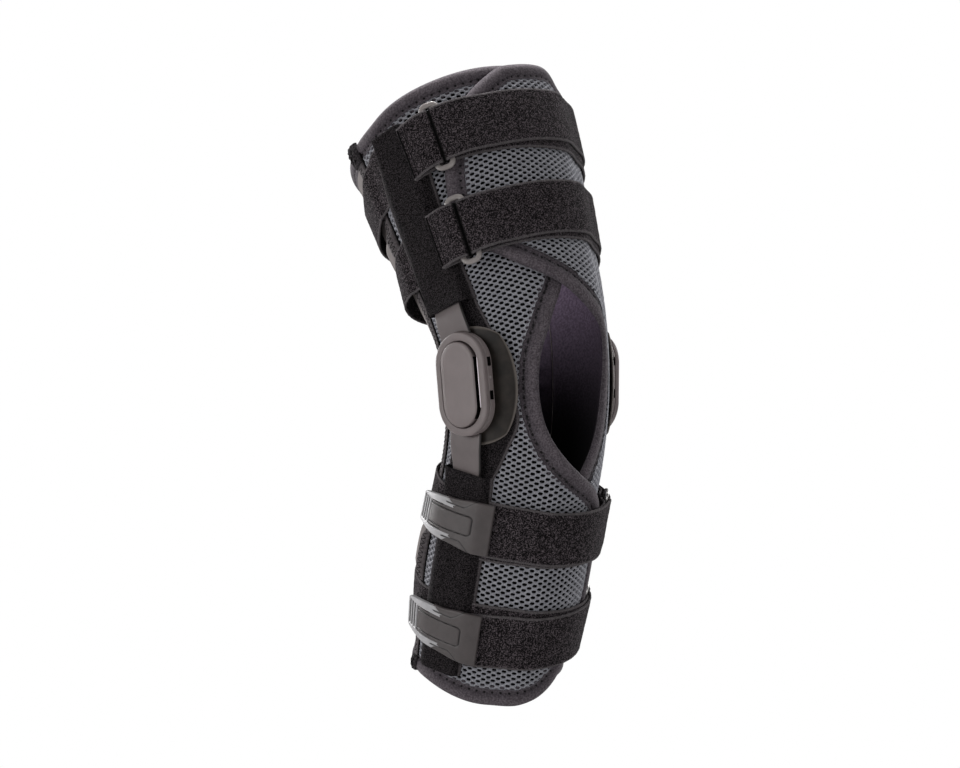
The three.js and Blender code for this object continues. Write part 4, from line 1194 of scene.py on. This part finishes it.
def trim_of(strap, depth):
    """How far the lower edge of a strap draws in towards its fold."""
    return lambda angle: depth * ease((angle - strap["ring"] + TRIM_REACH) / TRIM_REACH)


def thigh_bed(angle):
    return LAP + over_thigh(100, angle)


def calf_bed(angle):
    return LAP + over_calf(-100, angle)


def ring(name, strap, finish, **kinds):
    """Flat ring: a rounded bar section carried round a rounded rectangle."""
    turn = np.radians(np.arange(0, 90, 7.5))
    quarter = RING_CORNER * np.stack([np.cos(turn), np.sin(turn)], -1)
    x, y = RING_WIDTH - RING_BAR / 2 - RING_CORNER, RING_LENGTH - RING_END - RING_CORNER
    next_quarter = quarter @ [[0, 1], [-1, 0]]
    path = np.concatenate([
        quarter + (x, y), next_quarter + (-x, y), -quarter + (-x, -y), -next_quarter + (x, -y),
    ])
    ahead = np.roll(path, -1, 0) - np.roll(path, 1, 0)
    normal = np.stack([ahead[:, 1], -ahead[:, 0]], -1) / length_of(ahead)
    spin = 2 * np.pi * np.arange(16) / 16
    wide = np.sign(np.cos(spin)) * np.abs(np.cos(spin)) ** 0.7 * mix(RING_END, RING_BAR / 2, 0.5)
    tall = np.sign(np.sin(spin)) * np.abs(np.sin(spin)) ** 0.7 * RING / 2
    flat = path[:, None] + normal[:, None] * wide[None, :, None]
    height = np.broadcast_to(strap["high"] + RING / 2 + tall, flat.shape[:2])
    put_on = seat(float(strap["along"]), float(strap["ring"]))
    return loft(name, put_on(np.concatenate([flat, height[..., None]], -1)), [finish], closed=True, **kinds)


for seed, (name, strap) in enumerate(FRONT_STRAPS.items()):
    thigh = "thigh" in name
    low = strap["high"] - RING_SLACK - WEBBING / 2
    over = strap["high"] + RING + RING_SLACK + WEBBING / 2
    way = turned_back(strap, thigh_bed if thigh else calf_bed, low, over)
    band = webbing(f"{name}_band", way, strap, 40 + 4 * seed, trim_of(strap, 0.0 if thigh else STRAP_TRIM),
                   nodes=[f"{name}_strap"], slot="loop_pile")
    webbing(f"{name}_loop", folded_tab(strap, low, over), strap, 60 + 4 * seed, trim_of(strap, 0.0),
            nodes=[f"{name}_tab"], slot="loop_pile")
    rise = np.linspace(-17.5, 17.5, 36)
    # The thick first row is a seam and also a painted shadow line along the tab's sewn end
    for k, (step, radius) in enumerate(TAB_STITCHES):
        turn = strap["sewn"] + np.sign(strap["ring"] - strap["sewn"]) * step + 0 * rise
        reach = np.abs(strap["ring"] - strap["sewn"]) - TAB_BEND
        lift = mix(TAB_TOP, over, step / reach) + WEBBING / 2 + 0.15
        along = strap["along"] + strap["tab"] * (turn - strap["ring"]) + rise
        sew(f"{name}_tab_stitch_{k + 1}", along, turn, lift, radius, "loop_pile")
    ring(f"{name}_link", strap, ring_plastic if thigh else ring_steel, nodes=[f"{name}_ring"],
         slot="thigh_ring" if thigh else "calf_ring")

# Buckles
# Curved dark grey plates close the calf straps over the pockets: a plain grooved middle field, and a lower
# wing above and below it. A lighter clip with grip ribs hooks over the rear end with two rails.
BUCKLE = 3.0
BUCKLE_FROM, BUCKLE_MIDDLE, BUCKLE_TO = -97, -74.0, -51
BUCKLE_LIFT, REAR_DROP, FRONT_DROP = 10.7, 1.4, 1.8
NECK_HALF, PLATE_HALF, MOUTH_HALF = 8.4, 15.3, 17.8
WING_REAR, WING_FRONT, WING_DROP = 11.6, 18.6, 0.55
BUCKLES = {
    "upper_calf": {"along": -90, "turn": 1.0, "lean": 0.0},
    "lower_calf": {"along": -164, "turn": 3.5, "lean": 0.06},
}
FIELD_BACK, FIELD_LONG, FIELD_TALL, FIELD_CORNER, FIELD_RISE = 6.0, 13.6, 4.2, 2.4, 0.25
# Grooves as (width, depth)
FIELD_GROOVE, WING_GROOVE, RIB_GROOVE, SLIT_GROOVE = (0.42, 0.6), (0.42, 0.55), (0.8, 0.8), (0.45, 0.5)
# Outline of half a clip as (angle, height), from its middle to the end of a rail
CLIP_OUTER = [(-111, 0), (-111, 7), (-110, 9.8), (-102, 11.8), (-91, 13.8), (-81.5, 14.6)]
CLIP_INNER = [(-98.5, 0), (-98.5, 5), (-98.3, 8.2), (-96, 8.6), (-87, 9.0), (-75.5, 9.0)]
CLIP_LIFT = 0.2
RIBS = (108.2, 104.8, 101.4)
RIB_REACH = 7.6

buckle_plastic = Finish("buckle_plastic", Roughness=0.5, Coat_Weight=0.05, Coat_Roughness=0.4)
buckle_body = buckle_plastic.mottle(7.0, 3.0, (0.05, 0.0415, 0.0415), (0.062, 0.0515, 0.0515))
# Painted shade: near black along the middle of each groove
buckle_groove_shade = buckle_plastic.run(0).within(0.55, 0.2)
buckle_plastic.paint(
    Base_Color=buckle_plastic.blend(buckle_groove_shade, buckle_body, (0.008, 0.007, 0.007)),
    Roughness=buckle_plastic.noise(2.0).within(0.2, 0.8) * 0.15 + 0.43,
)
buckle_plastic.emboss(buckle_plastic.noise(0.4), 0.05, 0.6)
clip_plastic = Finish("clip_plastic", Roughness=0.45, Coat_Weight=0.05, Coat_Roughness=0.4)
clip_body = clip_plastic.mottle(7.0, 3.0, (0.32, 0.313, 0.322), (0.38, 0.373, 0.383))
# Painted shade: darker along the rib grooves and the slits
clip_groove_shade = clip_plastic.run(0).within(1.0, 0.5)
clip_plastic.paint(Base_Color=clip_plastic.blend(clip_groove_shade, clip_body, (0.03, 0.028, 0.028)))
clip_plastic.emboss(clip_plastic.noise(0.4), 0.05, 0.6)


def buckle_lift(angle):
    """Under side of a buckle: arched over the pocket and lower at both ends."""
    return BUCKLE_LIFT - REAR_DROP * ease((-angle - 88) / 20) - FRONT_DROP * ease((angle + 62) / 12)


def groove(distance, width, depth):
    return -depth * np.exp(-(distance / width) ** 2)


def between(column, steps, share):
    """Value between the outer and the inner outline of a clip, at steps from its middle to both ends."""
    index = np.arange(float(len(CLIP_OUTER)))
    lines = [np.stack([index, np.array(rows, float)[:, column]], 1) for rows in (CLIP_OUTER, CLIP_INNER)]
    return mix(follow(lines[0], np.abs(steps)), follow(lines[1], np.abs(steps)), share)


for name, buckle in BUCKLES.items():
    at, turn = buckle["along"], buckle["turn"]
    pitch = float(arc(float(at), BUCKLE_MIDDLE))
    angle = np.linspace(BUCKLE_FROM, BUCKLE_TO, 104)[:, None]
    place, _, full = across_band(71, 0.05)
    plate_half = mix(PLATE_HALF, MOUTH_HALF, ease((angle + 80) / 20))
    half = mix(NECK_HALF, plate_half, ease((angle + 85.5) / 2.0))
    up = half * place
    thick = full * rounded((angle + 52.2) / 1.2, 0.97)
    x = (angle - BUCKLE_MIDDLE) * pitch
    field_x, field_y = np.abs(x + FIELD_BACK) - FIELD_LONG, np.abs(up) - FIELD_TALL
    outside = np.hypot(np.maximum(field_x, 0), np.maximum(field_y, 0))
    field = outside + np.minimum(np.maximum(field_x, field_y), 0) - FIELD_CORNER
    wing = np.abs(up) - mix(WING_REAR, WING_FRONT, ease((x - 3) / 10))
    face = BUCKLE * mix(0.55, 1.0, thick) + groove(field, *FIELD_GROOVE) + groove(wing, *WING_GROOVE)
    face = face - WING_DROP * ease(wing / 1.2) + FIELD_RISE * ease(-field)
    base = buckle_lift(angle)
    # Distance to the nearest groove, for the painted groove shade
    uv = uv_of(np.minimum(np.abs(field), np.abs(wing)), up)
    lay(f"{name}_plate", at + up - buckle["lean"] * x, angle + turn, base + face, base + 0.45 * (1 - thick),
        [buckle_plastic], uv=uv, nodes=[f"{name}_buckle"], slot="buckle_plastic", crease=60)

    steps = np.linspace(-5, 5, 161)[:, None]
    _, share, full = across_band(35, 0.1)
    angle = between(0, steps, share)
    up = np.sign(steps) * between(1, steps, share)
    thick = full * rounded((np.abs(steps) - 4.85) / 0.15, 0.97)
    angle = angle + 3.2 * np.exp(-((share - 0.55) / 0.16) ** 2) * ease((np.abs(steps) - 4.55) / 0.45)
    ribs = np.min([np.abs(angle + rib) for rib in RIBS], 0) * pitch
    ribs = np.maximum(ribs, np.abs(up) - RIB_REACH)
    slit = np.abs(share - 0.5) * 5.5 + 9 * ease((4.6 - np.abs(steps)) / 0.3)
    face = BUCKLE * mix(0.5, 1.0, thick) + groove(ribs, *RIB_GROOVE) + groove(slit, *SLIT_GROOVE)
    base = buckle_lift(angle) + CLIP_LIFT
    leaning = buckle["lean"] * (angle - BUCKLE_MIDDLE) * pitch
    # Distance to the nearest rib groove or slit, for the painted groove shade
    uv = uv_of(np.minimum(ribs, slit + 0.2), up)
    lay(f"{name}_hook", at + up - leaning, angle + turn, base + face, base + 0.4 * (1 - thick),
        [clip_plastic], uv=uv, nodes=[f"{name}_clip"], slot="clip_plastic", crease=60)

# Studio
# The photograph's view on a plain white ground: a pale floor well below the brace, soft light from all round,
# large soft boxes before, beside and over it, two behind it for the light edges, and a small one over the
# thigh opening.
FRAME_WIDTH, FRAME_HEIGHT = 960, 768
FOCAL_PIXELS = 2880.0
SENSOR = 36.0
CAMERA_TURN, CAMERA_TILT, CAMERA_DISTANCE = -36.0, 2.0, 1930.0
ORIGIN_PIXEL = (523.5, 378.7)
FLOOR_DROP, FLOOR_HALF = 260.0, 9000
AMBIENT = 0.12

studio = bpy.context.scene
studio.view_settings.view_transform = "Standard"
pale = Finish("pale_floor", Base_Color=(0.6, 0.6, 0.6), Roughness=0.9)
glow = pale.node("ShaderNodeEmission", inputs={"Color": (1, 1, 1), "Strength": 1.0})
seen = pale.node("ShaderNodeLightPath", output="Is Camera Ray")
plate = pale.node("ShaderNodeMixShader", inputs={0: seen, 1: Tone(pale, pale.shader.outputs[0]), 2: glow})
pale.feed(pale.tree.nodes["Material Output"].inputs["Surface"], plate)
floor_level = cad_box[0].z / MM - FLOOR_DROP
square = np.array([[-1, -1, 0], [1, -1, 0], [1, 1, 0], [-1, 1, 0]], float)
corner = square * FLOOR_HALF + (0, 0, floor_level)
floor_mesh = bpy.data.meshes.new("floor")
floor_mesh.from_pydata((corner * MM).tolist(), [], [(0, 1, 2, 3)])
floor_mesh.materials.append(pale.material)
floor = bpy.data.objects.new("floor", floor_mesh)
studio.collection.objects.link(floor)

world = bpy.data.worlds.new("white_room")
studio.world = world
world.use_nodes = True
tree = world.node_tree
sky = tree.nodes["Background"]
backdrop = tree.nodes.new("ShaderNodeBackground")
for shade, strength in ((sky, AMBIENT), (backdrop, 1.0)):
    shade.inputs["Color"].default_value = (1, 1, 1, 1)
    shade.inputs["Strength"].default_value = strength
either = tree.nodes.new("ShaderNodeMixShader")
rays = tree.nodes.new("ShaderNodeLightPath")
tree.links.new(rays.outputs["Is Camera Ray"], either.inputs[0])
tree.links.new(sky.outputs[0], either.inputs[1])
tree.links.new(backdrop.outputs[0], either.inputs[2])
tree.links.new(either.outputs[0], tree.nodes["World Output"].inputs["Surface"])


def facing(turn, tilt):
    """Unit vectors right, up and back of something that looks at the origin from a turn and a tilt."""
    a, e = np.radians(turn), np.radians(tilt)
    back = np.array([np.sin(a) * np.cos(e), -np.cos(a) * np.cos(e), np.sin(e)])
    right = np.array([np.cos(a), np.sin(a), 0.0])
    return right, np.cross(back, right), back


def stand(thing, place, right, up, back):
    """Puts a lamp or the camera at a place in millimetres, with its three axes."""
    turn = Matrix(np.stack([right, up, back], 1).tolist()).to_4x4()
    thing.matrix_world = Matrix.Translation((place * MM).tolist()) @ turn
    studio.collection.objects.link(thing)


LAMPS = {
    "front_box": {"turn": -8, "tilt": 0, "distance": 1900, "size": 1.2, "watts": 10.5, "at": (0, 0, 0)},
    "side_box": {"turn": -95, "tilt": 6, "distance": 1700, "size": 1.1, "watts": 13, "at": (0, 0, 0)},
    "top_box": {"turn": 0, "tilt": 82, "distance": 1300, "size": 1.0, "watts": 6, "at": (0, 0, 0)},
    "left_edge": {"turn": -165, "tilt": 12, "distance": 1500, "size": 0.7, "watts": 18, "at": (0, 0, 0)},
    "right_edge": {"turn": 92, "tilt": 12, "distance": 1500, "size": 0.7, "watts": 14, "at": (0, 0, 0)},
    "inner_box": {"turn": 180, "tilt": 78, "distance": 500, "size": 0.12, "watts": 4.5, "at": (0, 66, 50)},
}
for name, lamp in LAMPS.items():
    light = bpy.data.lights.new(name, "AREA")
    light.size = lamp["size"]
    light.energy = lamp["watts"]
    right, up, back = facing(lamp["turn"], lamp["tilt"])
    place = np.array(lamp["at"]) + back * lamp["distance"]
    stand(bpy.data.objects.new(name, light), place, right, up, back)

lens = bpy.data.cameras.new("view")
lens.sensor_width = SENSOR
lens.lens = FOCAL_PIXELS / FRAME_WIDTH * SENSOR
right, up, back = facing(CAMERA_TURN, CAMERA_TILT)
aside = (ORIGIN_PIXEL[0] - FRAME_WIDTH / 2) / FOCAL_PIXELS * CAMERA_DISTANCE
above = (FRAME_HEIGHT / 2 - ORIGIN_PIXEL[1]) / FOCAL_PIXELS * CAMERA_DISTANCE
view = bpy.data.objects.new("view", lens)
stand(view, CAMERA_DISTANCE * back - aside * right - above * up, right, up, back)
studio.camera = view
